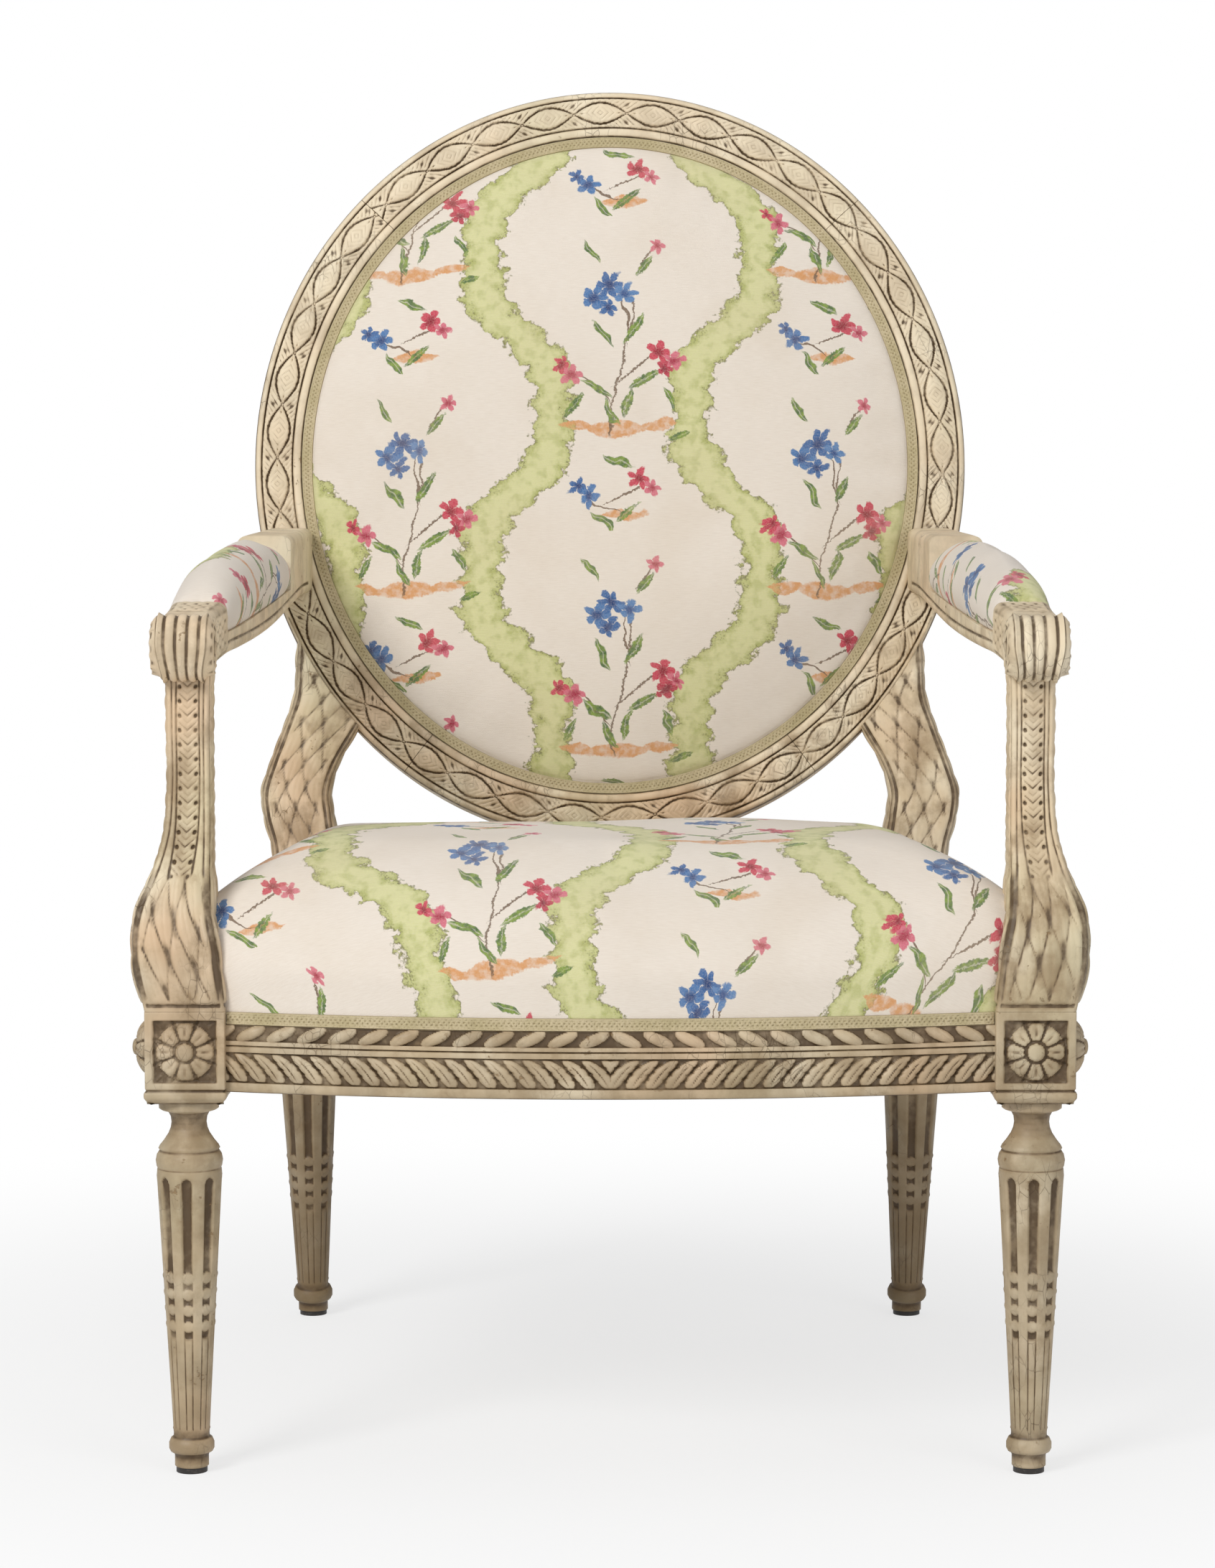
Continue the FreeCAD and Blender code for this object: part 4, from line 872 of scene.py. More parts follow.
        ribbon = g.add("MapRange", half - off, -0.8, 0.8, **STEP)
        cells = g.add("TexVoronoi", {"Vector": flat, "Scale": 0.55})
        stipple = g.add("MapRange", cells, 0.2, 0.5, 1.0, 0.0, **STEP)
        edge = g.add("MapRange", abs(off - half), 0.2, 2.2, 1.0, 0.0, **STEP)
        edge = edge * g.add("MapRange", noise[0.35], 0.36, 0.56, **STEP)
        dots = g.add("MapRange", off - half, -7.0, 1.0, **STEP) * ribbon * stipple
        shaded = g.add("MapRange", off - half, -12.0, 0.0, **STEP) * 0.7
        shaded = shaded + g.add("MapRange", noise[0.10], 0.45, 0.7, 0.0, 0.6, **STEP)
        column = g.add("Math", x / self.column, operation="FLOOR")
        u = (x - (column + 0.5) * self.column) / self.enlarge
        phase = g.add("Math", y / self.repeat + column * 0.5 + 0.12, operation="FRACT")
        v = (phase * self.repeat - self.repeat / 2) / self.enlarge
        washed = g.add("MapRange", noise[0.16], 0.3, 0.62, 0.45, 1.0, **STEP)
        sway = g.add("Math", v / 30.0, operation="SINE") * 7.0
        stem = g.add("MapRange", abs(u - sway), 0.35, 0.95, 1.0, 0.0, **STEP)
        stem = stem * g.add("MapRange", abs(v - 4.0), 46.0, 50.0, 1.0, 0.0, **STEP)
        stem = g.add("Math", stem, self.leaf_shapes(g, u, v, self.stalks, 0.0), operation="MAXIMUM")
        greens = g.add("Mix", shaded, {6: self.ribbon, 7: self.shade}, output=2, **COLOUR)
        mottle = g.add("MapRange", noise[0.2], 0.35, 0.65, **STEP)
        foliage = g.add("Mix", mottle, {6: self.leaf, 7: self.leaf_dark}, output=2, **COLOUR)
        layers = [(ribbon, greens), (edge * 0.75, self.edging), (dots * 0.8, self.edging),
                  (self.leaf_shapes(g, u, v, self.mounds, 0.0) * washed, self.mound), (stem * 0.9, self.stem),
                  (self.leaf_shapes(g, u, v, self.leaves, 0.5), foliage)]
        for motif in self.flowers:
            inside, heart = self.petals(g, u, v, motif)
            layers.append((inside, g.add("Mix", heart, {6: motif.edge, 7: motif.heart}, output=2, **COLOUR)))
        layers += [(g.add("MapRange", noise[0.8], 0.3, 0.75, 0.0, 0.16, **STEP), self.ground),
                   (g.add("MapRange", noise[0.011], 0.4, 0.8, 0.0, 0.22, **STEP), self.aged)]
        tone = self.ground
        for share, ink in layers:
            tone = g.add("Mix", share, {6: tone, 7: ink}, output=2, **COLOUR)
        step = 2 * math.pi / self.thread
        weave = g.add("Math", thread_x * step, operation="SINE")
        weave = weave * g.add("Math", thread_y * step, operation="SINE")
        drawn = g.add("CombineXYZ", thread_x * 0.12, thread_y * 1.6)
        slub = g.add("TexNoise", {"Vector": drawn, "Scale": 1.0, "Detail": 2.0})
        share = g.add("MapRange", slub, 0.3, 0.8, 0.0, 0.12, **STEP)
        tone = g.add("Mix", share, {6: tone, 7: self.slub}, output=2, blend_type="MULTIPLY", **COLOUR)
        relief = g.add("Bump", {"Height": weave * 0.35 + slub * 0.8 + noise[0.05] * 2.0, "Distance": 0.22 * MM})
        look = g.add("BsdfPrincipled", {"Base Color": tone, "Roughness": 0.86, "Normal": relief,
                                        "Sheen Weight": 0.25, "Sheen Roughness": 0.5,
                                        "Specular IOR Level": 0.2})
        g.add("OutputMaterial", look)
        return g.owner


@dataclass(frozen=True)
class Braid:
    """Tan upholstery gimp, with painted shade in the gaps between its cords."""

    name: str = "Gimp_braid"
    cord: str = "#c9b995"
    dark: str = "#86754e"
    faded: str = "#a59868"

    def make(self) -> bpy.types.Material:
        """Build the braid.

        Painted shade in the gaps between the cords, and fine strands in the colour and the bump, make flat
        cords look twisted.

        Returns:
            The material.
        """
        g = Graph(bpy.data.materials.new(self.name))
        spot = g.add("TexCoord", output="Object")
        hollow = g.add("Attribute", output="Fac", attribute_name="hollow")
        fine = g.add("Mapping", {"Vector": spot, "Scale": (900, 900, 900)})
        strand = g.add("TexNoise", {"Vector": fine, "Scale": 1.0, "Detail": 3.0})
        faded = g.add("TexNoise", {"Vector": spot, "Scale": 40, "Detail": 3.0})
        tone = self.cord
        # painted shade: the "hollow" share darkens the gaps between the cords; the strand share is the cords'
        # own fibre tone
        for share, code in ((g.add("MapRange", faded, 0.3, 0.7, 0, 0.5, **STEP), self.faded),
                            (g.add("MapRange", hollow, 0.1, 1.0, 0, 0.75, **STEP), self.dark),
                            (g.add("MapRange", strand, 0.4, 0.7, 0, 0.3, **STEP), self.dark)):
            tone = g.add("Mix", share, {6: tone, 7: code}, output=2, **COLOUR)
        relief = g.add("Bump", {"Height": strand, "Distance": 0.2 * MM})
        look = g.add("BsdfPrincipled", {"Base Color": tone, "Roughness": 0.8, "Normal": relief,
                                        "Sheen Weight": 0.3})
        g.add("OutputMaterial", look)
        return g.owner


@dataclass(frozen=True)
class Weave:
    """Coarse plain cloth of crossed yarns, such as jute webbing or hessian."""

    name: str
    yarn: str
    gap: str
    pitch: float
    stripe: str = ""

    def make(self) -> bpy.types.Material:
        """Build the cloth.

        Crossed sine waves at the yarns' real pitch leave painted shade in the gaps between the yarns, so the
        cloth looks open and coarse.

        Returns:
            The material.
        """
        g = Graph(bpy.data.materials.new(self.name))
        place = g.add("UVMap", uv_map="Cloth")
        x, y = (g.add("SeparateXYZ", place, output=axis) * 1000.0 for axis in (0, 1))
        step = math.pi / self.pitch
        over = abs(g.add("Math", x * step, operation="SINE")) * abs(g.add("Math", y * step, operation="SINE"))
        flat = g.add("CombineXYZ", x, y)
        slub = g.add("TexNoise", {"Vector": flat, "Scale": 0.3, "Detail": 3.0})
        # painted shade: darker between the crossing yarns
        share = g.add("MapRange", over, 0.0, 0.45, **STEP)
        tone = g.add("Mix", share, {6: self.gap, 7: self.yarn}, output=2, **COLOUR)
        share = g.add("MapRange", slub, 0.35, 0.75, 0, 0.4, **STEP)
        tone = g.add("Mix", share, {6: tone, 7: self.gap}, output=2, **COLOUR)
        if self.stripe:
            line = g.add("MapRange", abs(abs(x) - 18.0), 0.8, 1.8, 1.0, 0.0, **STEP)
            tone = g.add("Mix", line * 0.8, {6: tone, 7: self.stripe}, output=2, **COLOUR)
        relief = g.add("Bump", {"Height": over + slub, "Distance": 0.5 * MM})
        look = g.add("BsdfPrincipled", {"Base Color": tone, "Roughness": 0.9, "Normal": relief})
        g.add("OutputMaterial", look)
        return g.owner


@dataclass(frozen=True)
class Hardware:
    """Plain hard stuff with a little wear: steel screws or nylon glides."""

    name: str
    tone: str
    worn: str
    metal: float
    rough: float

    def make(self) -> bpy.types.Material:
        """Build the finish.

        Scuffs that are paler and rougher than the rest keep small hard parts from looking new.

        Returns:
            The material.
        """
        g = Graph(bpy.data.materials.new(self.name))
        spot = g.add("TexCoord", output="Object")
        scuff = g.add("TexNoise", {"Vector": spot, "Scale": 300, "Detail": 4.0, "Roughness": 0.65})
        share = g.add("MapRange", scuff, 0.5, 0.7, **STEP)
        tone = g.add("Mix", share, {6: self.tone, 7: self.worn}, output=2, **COLOUR)
        rough = g.add("MapRange", scuff, 0.3, 0.8, self.rough, self.rough + 0.2, **STEP)
        relief = g.add("Bump", {"Height": scuff, "Distance": 0.08 * MM})
        look = g.add("BsdfPrincipled", {"Base Color": tone, "Roughness": rough, "Normal": relief,
                                        "Metallic": self.metal})
        g.add("OutputMaterial", look)
        return g.owner


class Slot(Enum):
    """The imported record's material slots."""

    PAINT = "painted_wood"
    BEECH = "bare_beech"
    COTTON = "printed_cotton"
    STUFFING = "stuffing"
    BRAID = "gimp_braid"
    WEBBING = "jute_webbing"
    HESSIAN = "hessian"
    STEEL = "screw_steel"
    GLIDE = "glide_plastic"


@dataclass
class Finishes:
    """Every material of the chair, by slot."""

    made: dict[Slot, bpy.types.Material] = field(default_factory=dict)

    def build(self) -> None:
        """Make the materials."""
        recipes = {
            Slot.PAINT: AgedPaint(),  # aged cream oil paint on carved beech
            Slot.BEECH: BareWood(),  # unpainted beech
            Slot.COTTON: PrintedCotton(),  # cream cotton, block printed
            Slot.STUFFING: Weave("Calico_over_stuffing", "#e6dcc6", "#b8aa8c", 0.8),  # calico over horsehair
            Slot.BRAID: Braid(),  # tan rayon gimp
            Slot.WEBBING: Weave("Jute_webbing", "#b08d5c", "#6f5432", 1.6, "#8c4030"),  # jute webbing
            Slot.HESSIAN: Weave("Hessian", "#b89a6c", "#6b5436", 1.3),  # jute hessian
            Slot.STEEL: Hardware("Dull_steel", "#8d8f92", "#5d5a55", 1.0, 0.35),  # zinc-dulled steel
            Slot.GLIDE: Hardware("Dark_nylon", "#2b2724", "#4a4540", 0.0, 0.45),  # moulded nylon
        }
        self.made = {slot: recipe.make() for slot, recipe in recipes.items()}

    def piece(self, shell: Shell, slot: Slot, *nodes: str, sharp: Optional[float] = None) -> bpy.types.Object:
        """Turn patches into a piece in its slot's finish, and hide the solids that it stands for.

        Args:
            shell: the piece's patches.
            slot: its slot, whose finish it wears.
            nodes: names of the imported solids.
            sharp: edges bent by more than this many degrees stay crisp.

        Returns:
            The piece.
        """
        made = shell.make(self.made[slot], sharp)
        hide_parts(*nodes)
        LOG.info("made %s", made.name)
        return made


FINISHES = Finishes()


# ---- Carved frame ----
@dataclass
class Chair:
    """Sizes that several pieces share, in millimetres."""

    leg_x: float = 296.0
    post_x: float = 246.0
    depth: float = 478.0
    block_half: float = 28.0
    block_top: float = 331.0
    block_low: float = 266.0
    bow: float = 35.0
    splay: float = 52.0
    rake: float = math.radians(12)
    oval_wide: float = 291.0
    oval_high: float = 312.0
    oval_z: float = 702.0
    side_x: float = 316.1
    taper: float = 0.1193
    arm_x: float = 297.0
    arm_draw: float = 35.0
    arm_long: float = 524.0
    seat_middle: float = 205.0

    @property
    def oval_y(self) -> float:
        """How far back the oval's centre stands."""
        return self.depth + (self.oval_z - self.block_top) * math.tan(self.rake)

    @property
    def chord(self) -> float:
        """Half the front rail's length."""
        return self.leg_x - self.block_half

    def bow_line(self, across: np.ndarray) -> np.ndarray:
        """How far the bowed front stands behind its foremost point.

        Args:
            across: distance from the middle.

        Returns:
            The set-back.
        """
        radius = (self.chord ** 2 + self.bow ** 2) / (2 * self.bow)
        return radius - np.sqrt(radius ** 2 - across ** 2)

    def side_line(self, back: np.ndarray) -> np.ndarray:
        """Outer face of a side rail.

        Args:
            back: distance behind the front legs.

        Returns:
            Its distance from the chair's middle.
        """
        return self.side_x - (back - self.block_half) * self.taper

    def arm_line(self, back: np.ndarray) -> np.ndarray:
        """Middle line of an arm.

        Args:
            back: distance behind the front legs.

        Returns:
            Its distance from the chair's middle.
        """
        return self.arm_x - self.arm_draw * back / self.arm_long

    def tilt(self, flat: np.ndarray) -> np.ndarray:
        """Move points of the oval's own frame onto the chair.

        Args:
            flat: rows of across, up the slope, and height over the middle plane.

        Returns:
            Working points.
        """
        s, c = math.sin(self.rake), math.cos(self.rake)
        x, up, out = flat[..., 0], flat[..., 1], flat[..., 2]
        return np.stack([x, self.oval_y + up * s - out * c, self.oval_z + up * c + out * s], axis=-1)

    def untilt(self, points: np.ndarray) -> np.ndarray:
        """Reverse of tilt.

        Args:
            points: working points.

        Returns:
            Places in the oval's own frame.
        """
        s, c = math.sin(self.rake), math.cos(self.rake)
        y, z = points[..., 1] - self.oval_y, points[..., 2] - self.oval_z
        return np.stack([points[..., 0], y * s + z * c, z * s - y * c], axis=-1)


CHAIR = Chair()


@dataclass
class TurnedShaft:
    """Turned leg below the seat: collar, neck, bulb, and a shaft with beaded flutes and a ring."""

    flutes: int = 8
    steps: int = 176
    shaft_top: float = 217.0
    shaft_low: float = 30.0
    profile: tuple[tuple[float, float], ...] = ((267, 21), (265.5, 21.3), (260, 21), (259, 19.5), (257.5, 14.6),
                                                (254, 12.8), (250, 12.3), (246, 12.9), (242, 14.5), (237, 17.8),
                                                (233.5, 20.6), (231.5, 21.6), (230.8, 20.7), (230, 20.9),
                                                (227, 22.8), (223, 23.6), (219, 23.0), (217.4, 22.2),
                                                (216.8, 22.6), (212, 23.0), (30, 12.8), (28, 12.6),
                                                (25.4, 12.8), (24.2, 14.6), (21, 16), (17, 16), (14.8, 14.9),
                                                (14, 12.8), (12, 12), (4.6, 12), (4, 11.4))

    def flute(self, angle: np.ndarray, z: np.ndarray, radius: np.ndarray) -> np.ndarray:
        """Depth of the flutes with their beads and rods.

        Args:
            angle: angle round the shaft.
            z: height.
            radius: the shaft's radius there.

        Returns:
            Height over the shaft, negative in a flute.
        """
        share = np.clip((z - self.shaft_low) / (self.shaft_top - self.shaft_low), 0, 1)
        wide = 4.3 * share + 2.6 * (1 - share)
        step = 2 * math.pi / self.flutes
        off = (np.mod(angle + step / 2, step) - step / 2) * radius / wide
        cap = np.clip((z - 208) / 4.5, 0, 2) ** 2 + np.clip((33 - z) / 3, 0, 2) ** 2
        bed = np.sqrt(np.clip(1 - off ** 2 - cap, 0, 1))
        deep = -(3.4 * share + 1.9 * (1 - share)) * bed
        beads = np.zeros_like(deep)
        for place in (141, 129.5, 118, 106.5):
            ball = 1 - (off * 0.92) ** 2 - ((z - place) / 5.2) ** 2
            beads = np.maximum(beads, 1.12 * np.sqrt(np.clip(ball, 0, 1)))
        rod = np.clip((99 - z) / 4, 0, 1) * np.clip(1 - (off / 0.86) ** 2, 0, 1)
        beads = np.maximum(beads, np.sqrt(rod))
        return deep + (3.0 * share + 1.9 * (1 - share)) * beads * (bed > 0)

    def build(self, shell: Shell, side: Side, rear: bool) -> None:
        """Add the shaft to a leg.

        Args:
            shell: the leg's patches.
            side: the chair's side.
            rear: whether the shaft splays back under a rear post.
        """
        fine = []
        for (z1, r1), (z2, r2) in zip(self.profile[:-1], self.profile[1:]):
            count = max(1, int(math.hypot(z1 - z2, r1 - r2) / 1.25))
            fine.extend((z1 + (z2 - z1) * k / count, r1 + (r2 - r1) * k / count) for k in range(count))
        fine.append(self.profile[-1])
        z, radius = np.asarray(fine).T
        z, radius = z[:, None], radius[:, None]
        angle = np.linspace(0, 2 * math.pi, self.steps, endpoint=False)[None]
        height = np.where((z < self.shaft_top - 1) & (z > self.shaft_low), self.flute(angle, z, radius), 0)
        reach = radius + height
        hollow = 0.8 * cavity(height, 4, 1.1, False, True) + 0.3 * np.clip(-height / 2.4, 0, 1)
        rings = np.repeat(radius, self.steps, 1)
        hollow = np.clip(hollow + 0.8 * cavity(rings, 2, 1.0, False, True) + 0.12 * ease(20, 12, rings), 0, 1)
        x, y = reach * np.cos(angle), reach * np.sin(angle)
        z = np.broadcast_to(z, x.shape)
        if rear:
            tilt = math.atan2(CHAIR.splay, CHAIR.block_low)
            drop = z - CHAIR.block_low / math.cos(tilt)
            y, z = y * math.cos(tilt) - drop * math.sin(tilt), y * math.sin(tilt) + drop * math.cos(tilt)
            z = np.maximum(z + CHAIR.block_low, 4.0)
            x, y = x + side.value * CHAIR.post_x, y + CHAIR.depth
        else:
            x = x + side.value * CHAIR.leg_x
        shell.grid(np.stack([x, y, z], axis=-1), wrap_columns=True, hollow=hollow, caps=True)


@dataclass
class Member:
    """Bar of rounded rectangular sections along one direction, carved on its faces."""

    stations: Sequence[Sequence[float]]
    carve: Callable[[np.ndarray, np.ndarray, np.ndarray, np.ndarray], np.ndarray]
    upright: bool = True
    step: float = 1.2
    radius: float = 3.0
    ring: Ring = field(default_factory=Ring)
    reach: int = 3

    def build(self, shell: Shell, shape: Optional[Callable[[np.ndarray], np.ndarray]] = None) -> None:
        """Add the member to a piece.

        Args:
            shell: the piece's patches.
            shape: last change to the points, such as a cut.
        """
        rows = np.asarray(self.stations, float)
        count = max(2, int((rows[-1, 0] - rows[0, 0]) / self.step))
        place = np.linspace(rows[0, 0], rows[-1, 0], count)
        table = smooth_table(rows, place)
        centre_u, centre_v, width, deep = table[:, :4].T
        radius = np.minimum(self.radius, np.minimum(width, deep) * 0.4)
        spots, normal, faces, _ = self.ring.trace(width, deep, radius)
        height = self.carve(spots, faces, place[:, None] + 0 * spots[..., 0], np.stack([width, deep], axis=1))
        spots = spots + normal * height[..., None]
        u, v = spots[..., 0] + centre_u[:, None], spots[..., 1] + centre_v[:, None]
        along = np.broadcast_to(place[:, None], u.shape)
        points = np.stack([u, v, along], axis=-1) if self.upright else np.stack([u, along, v], axis=-1)
        if shape is not None:
            points = shape(points)
        shell.grid(points, wrap_columns=True, hollow=cavity(height, self.reach, 0.8, False, True), caps=True)


@dataclass
class FrontLeg:
    """Square block with carved panels over the turned shaft."""

    side: Side
    low: float = CHAIR.block_low
    high: float = CHAIR.block_top
    panel: float = 303.0
    flower: float = 20.5

    def carve(self, spots: np.ndarray, faces: np.ndarray, z: np.ndarray, size: np.ndarray) -> np.ndarray:
        """Sink a square panel with a flower into the front and outer faces, and step the foot in.

        Args:
            spots: places on the sections, sideways and deep.
            faces: face that each step lies on, -1 on a corner.
            z: height of each point.
            size: width and depth of each section; not used.

        Returns:
            Height over the sections.
        """
        outer = 1 if self.side is Side.RIGHT else 3
        height = np.zeros(z.shape)
        rise = z - self.panel
        for face, across in ((0, spots[..., 0]), (outer, spots[..., 1])):
            off = np.hypot(across, rise)
            bed = ease(22.6, 21.2, np.maximum(np.abs(across), np.abs(rise)))
            swell = 9.0 * np.sqrt(np.clip(1 - (off / 21) ** 2, 0, 1)) if face == outer else 1.5
            flower = rosette(across, rise, self.flower) + swell * (off < self.flower)
            corner = 1.6 * groove(np.abs(across) - np.abs(rise), 2.0) * ease(20, 24, off)
            height = np.where(faces == face, bed * (-3.2 + flower + corner), height)
        plinth = np.where(z < 274.5, 0.9, 0) - 1.8 * groove(z - 275.4, 0.9)
        foot = -5.0 * np.clip((self.low + 5 - z) / 5, 0, 1) ** 1.5
        return height + plinth + foot

    def build(self) -> bpy.types.Object:
        """Make the leg.

        Returns:
            The piece.
        """
        shell = Shell("Carved_front_leg_" + self.side.word)
        TurnedShaft().build(shell, self.side, False)
        x = self.side.value * CHAIR.leg_x
        wide = 2 * CHAIR.block_half
        Member([(self.low, x, 0, wide, wide), (300, x, 0, wide, wide), (self.high, x, 0, wide, wide)],
               self.carve, step=0.9, radius=1.2, ring=Ring(56, 56, 2)).build(shell)
        return FINISHES.piece(shell, Slot.PAINT, "front_leg_" + self.side.word)


@dataclass
class RearPost:
    """Splayed turned leg, plain post at the seat, and a stile carved with laurel up to the oval."""

    side: Side
    leaves: Fronds = Fronds(34, 13.5, 3.4)

    def carve(self, spots: np.ndarray, faces: np.ndarray, z: np.ndarray, size: np.ndarray) -> np.ndarray:
        """Lay long leaves over the stile, in columns that widen with it.

        Args:
            spots: places on the sections, sideways and deep.
            faces: face that each step lies on, -1 on a corner.
            z: height of each point.
            size: width and depth of each section.

        Returns:
            Height over the sections.
        """
        width, deep = size[:, :1], size[:, 1:]
        front = (faces == 0) | (faces == 2)
        across = np.where(front, spots[..., 0], spots[..., 1])
        room = np.where(front, width, deep)
        leaf = self.leaves(z, across / room * 45)
        fade = ease(343, 352, z) * ease(0, 3.0, room / 2 - 3.2 - np.abs(across))
        border = 1.2 * groove(room / 2 - 3.6 - np.abs(across), 1.2) * ease(343, 352, z)
        step = -1.4 * groove(z - 340, 1.4)
        return np.where(faces >= 0, leaf * fade * np.where(faces == 2, 0.25, 1) - border, 0) + step

    def build(self) -> bpy.types.Object:
        """Make the post.

        Returns:
            The piece.
        """
        shell = Shell("Carved_rear_post_" + self.side.word)
        TurnedShaft().build(shell, self.side, True)
        out, y, lean = self.side.value, CHAIR.depth, math.tan(CHAIR.rake)
        x = out * CHAIR.post_x
        lifts = ((0, 0, 46, 45), (33, 1.08, 48, 43), (66, 2.25, 50, 42), (89, 7.2, 53, 39), (107, 9, 53, 38),
                 (129, 2.7, 53, 38), (154, -9, 58, 38), (184, -23, 66, 37), (219, -31, 78, 36),
                 (254, -36, 81, 35))
        stations = [(CHAIR.block_low, x, y, 46, 45), (CHAIR.block_top - 12, x, y, 46, 45)]
        stations += [(CHAIR.block_top + rise, x + out * centre, y + rise * lean, width, deep)
                     for rise, centre, width, deep in lifts]

        def stop_at_rim(points: np.ndarray) -> np.ndarray:
            """Keep the stile out of the oval, just inside its edge.

            Args:
                points: working points of the post.

            Returns:
                The same points, stopped at the rim.
            """
            flat = CHAIR.untilt(points)
            reach = np.hypot(flat[..., 0] / (CHAIR.oval_wide - 2.5), flat[..., 1] / (CHAIR.oval_high - 2.5))
            grow = np.where((reach < 1) & (points[..., 2] > 420), 1 / np.maximum(reach, 0.2), 1)
            flat[..., :2] *= grow[..., None]
            return CHAIR.tilt(flat)

        Member(stations, self.carve, step=1.3, radius=3.2, ring=Ring(44, 36, 4)).build(shell, stop_at_rim)
        return FINISHES.piece(shell, Slot.PAINT, "rear_post_" + self.side.word)


@dataclass
class SeatRail:
    """Moulded rail with a twisted ribbon over a plain bead and a row of slanting leaves."""

    name: str
    node: str
    path: np.ndarray
    carved: bool = True
    low: float = 274.0
    thick: float = 28.0
    bed: float = -1.5
    ribbon: TwistedRibbon = TwistedRibbon()
    leaves: LeafRow = LeafRow()

    def profile(self) -> np.ndarray:
        """Outline across the rail as outward offset and height, from the rear of its top round.

        Returns:
            Points round the outline.
        """
        top, low = CHAIR.block_top, self.low
        face = [(-4, top), (-4, 321.3), (-0.3, 321.2)]
        face += [(self.bed, z) for z in np.arange(320.8, 310.2, -0.75)]
        face += [(0.2, 310), (0.6, 308.9), (0.6, 307.4), (-0.9, 306.6), (0.6, 305.8), (0.9, 304), (0.6, 302.4),
                 (-1.6, 301.6)]
        face += [(self.bed, z) for z in np.arange(301.2, 281.4, -0.8)]
        face += [(-1.7, 281.1), (0.3, 280.6), (0.6, 278.4), (0.6, 276.2), (0, 274.8), (-0.8, low)]
        rest = [(-self.thick * k / 6, low) for k in range(1, 6)]
        rest += [(-self.thick, low + (top - low) * k / 8) for k in range(9)] + [(-16, top), (-8, top)]
        return np.asarray(face + rest)

    def build(self) -> bpy.types.Object:
        """Make the rail.

        Returns:
            The piece.
        """
        path, runs = resample(self.path, 0.95)
        heading = np.gradient(path, axis=0)
        heading /= np.linalg.norm(heading, axis=1)[:, None]
        outward = np.stack([heading[:, 1], -heading[:, 0]], axis=1)
        offset, z = self.profile().T
        along = (runs - runs[-1] / 2)[:, None]
        carve = np.zeros((len(path), len(z)))
        if self.carved:
            for row, low, middle, high in ((self.ribbon, 310.1, 315.5, 321),
                                           (self.leaves, 281.2, 291.3, 301.4)):
                here = (z < high) & (z > low) & (offset == self.bed)
                carve = np.where(here, row(along, z - middle), carve)
        reach = offset + carve
        points = np.empty((len(path), len(z), 3))
        points[..., 0] = path[:, :1] + outward[:, :1] * reach
        points[..., 1] = path[:, 1:] + outward[:, 1:] * reach
        points[..., 2] = z
        relief = np.where(offset > -3, reach, -1.0)
        hollow = cavity(relief, 2, 0.8)
        hollow = np.clip(hollow + 0.75 * ease(0.2, -1.3, reach) * (offset > -3), 0, 1)
        shell = Shell(self.name)
        shell.grid(points, wrap_columns=True, hollow=hollow, caps=True)
        return FINISHES.piece(shell, Slot.PAINT, self.node, sharp=50)


@dataclass
class SeatFrame:
    """The four seat rails."""

    def build(self) -> None:
        """Make the rails."""
        across = np.linspace(-CHAIR.chord - 1, CHAIR.chord + 1, 90)
        nose = 8 - CHAIR.block_half - CHAIR.bow
        front = np.stack([across, nose + CHAIR.bow_line(np.clip(across, -CHAIR.chord, CHAIR.chord))], axis=1)
        SeatRail("Carved_front_rail", "front_rail", front).build()
        for side in Side:
            back = np.array([27.0, 456.5])[::side.value]
            line = np.stack([side.value * CHAIR.side_line(back), back], axis=1)
            SeatRail("Carved_side_rail_" + side.word, "side_rail_" + side.word, line).build()
        rear = np.array([(224.0, CHAIR.depth + 14), (-224.0, CHAIR.depth + 14)])
        SeatRail("Moulded_rear_rail", "rear_rail", rear, carved=False).build()


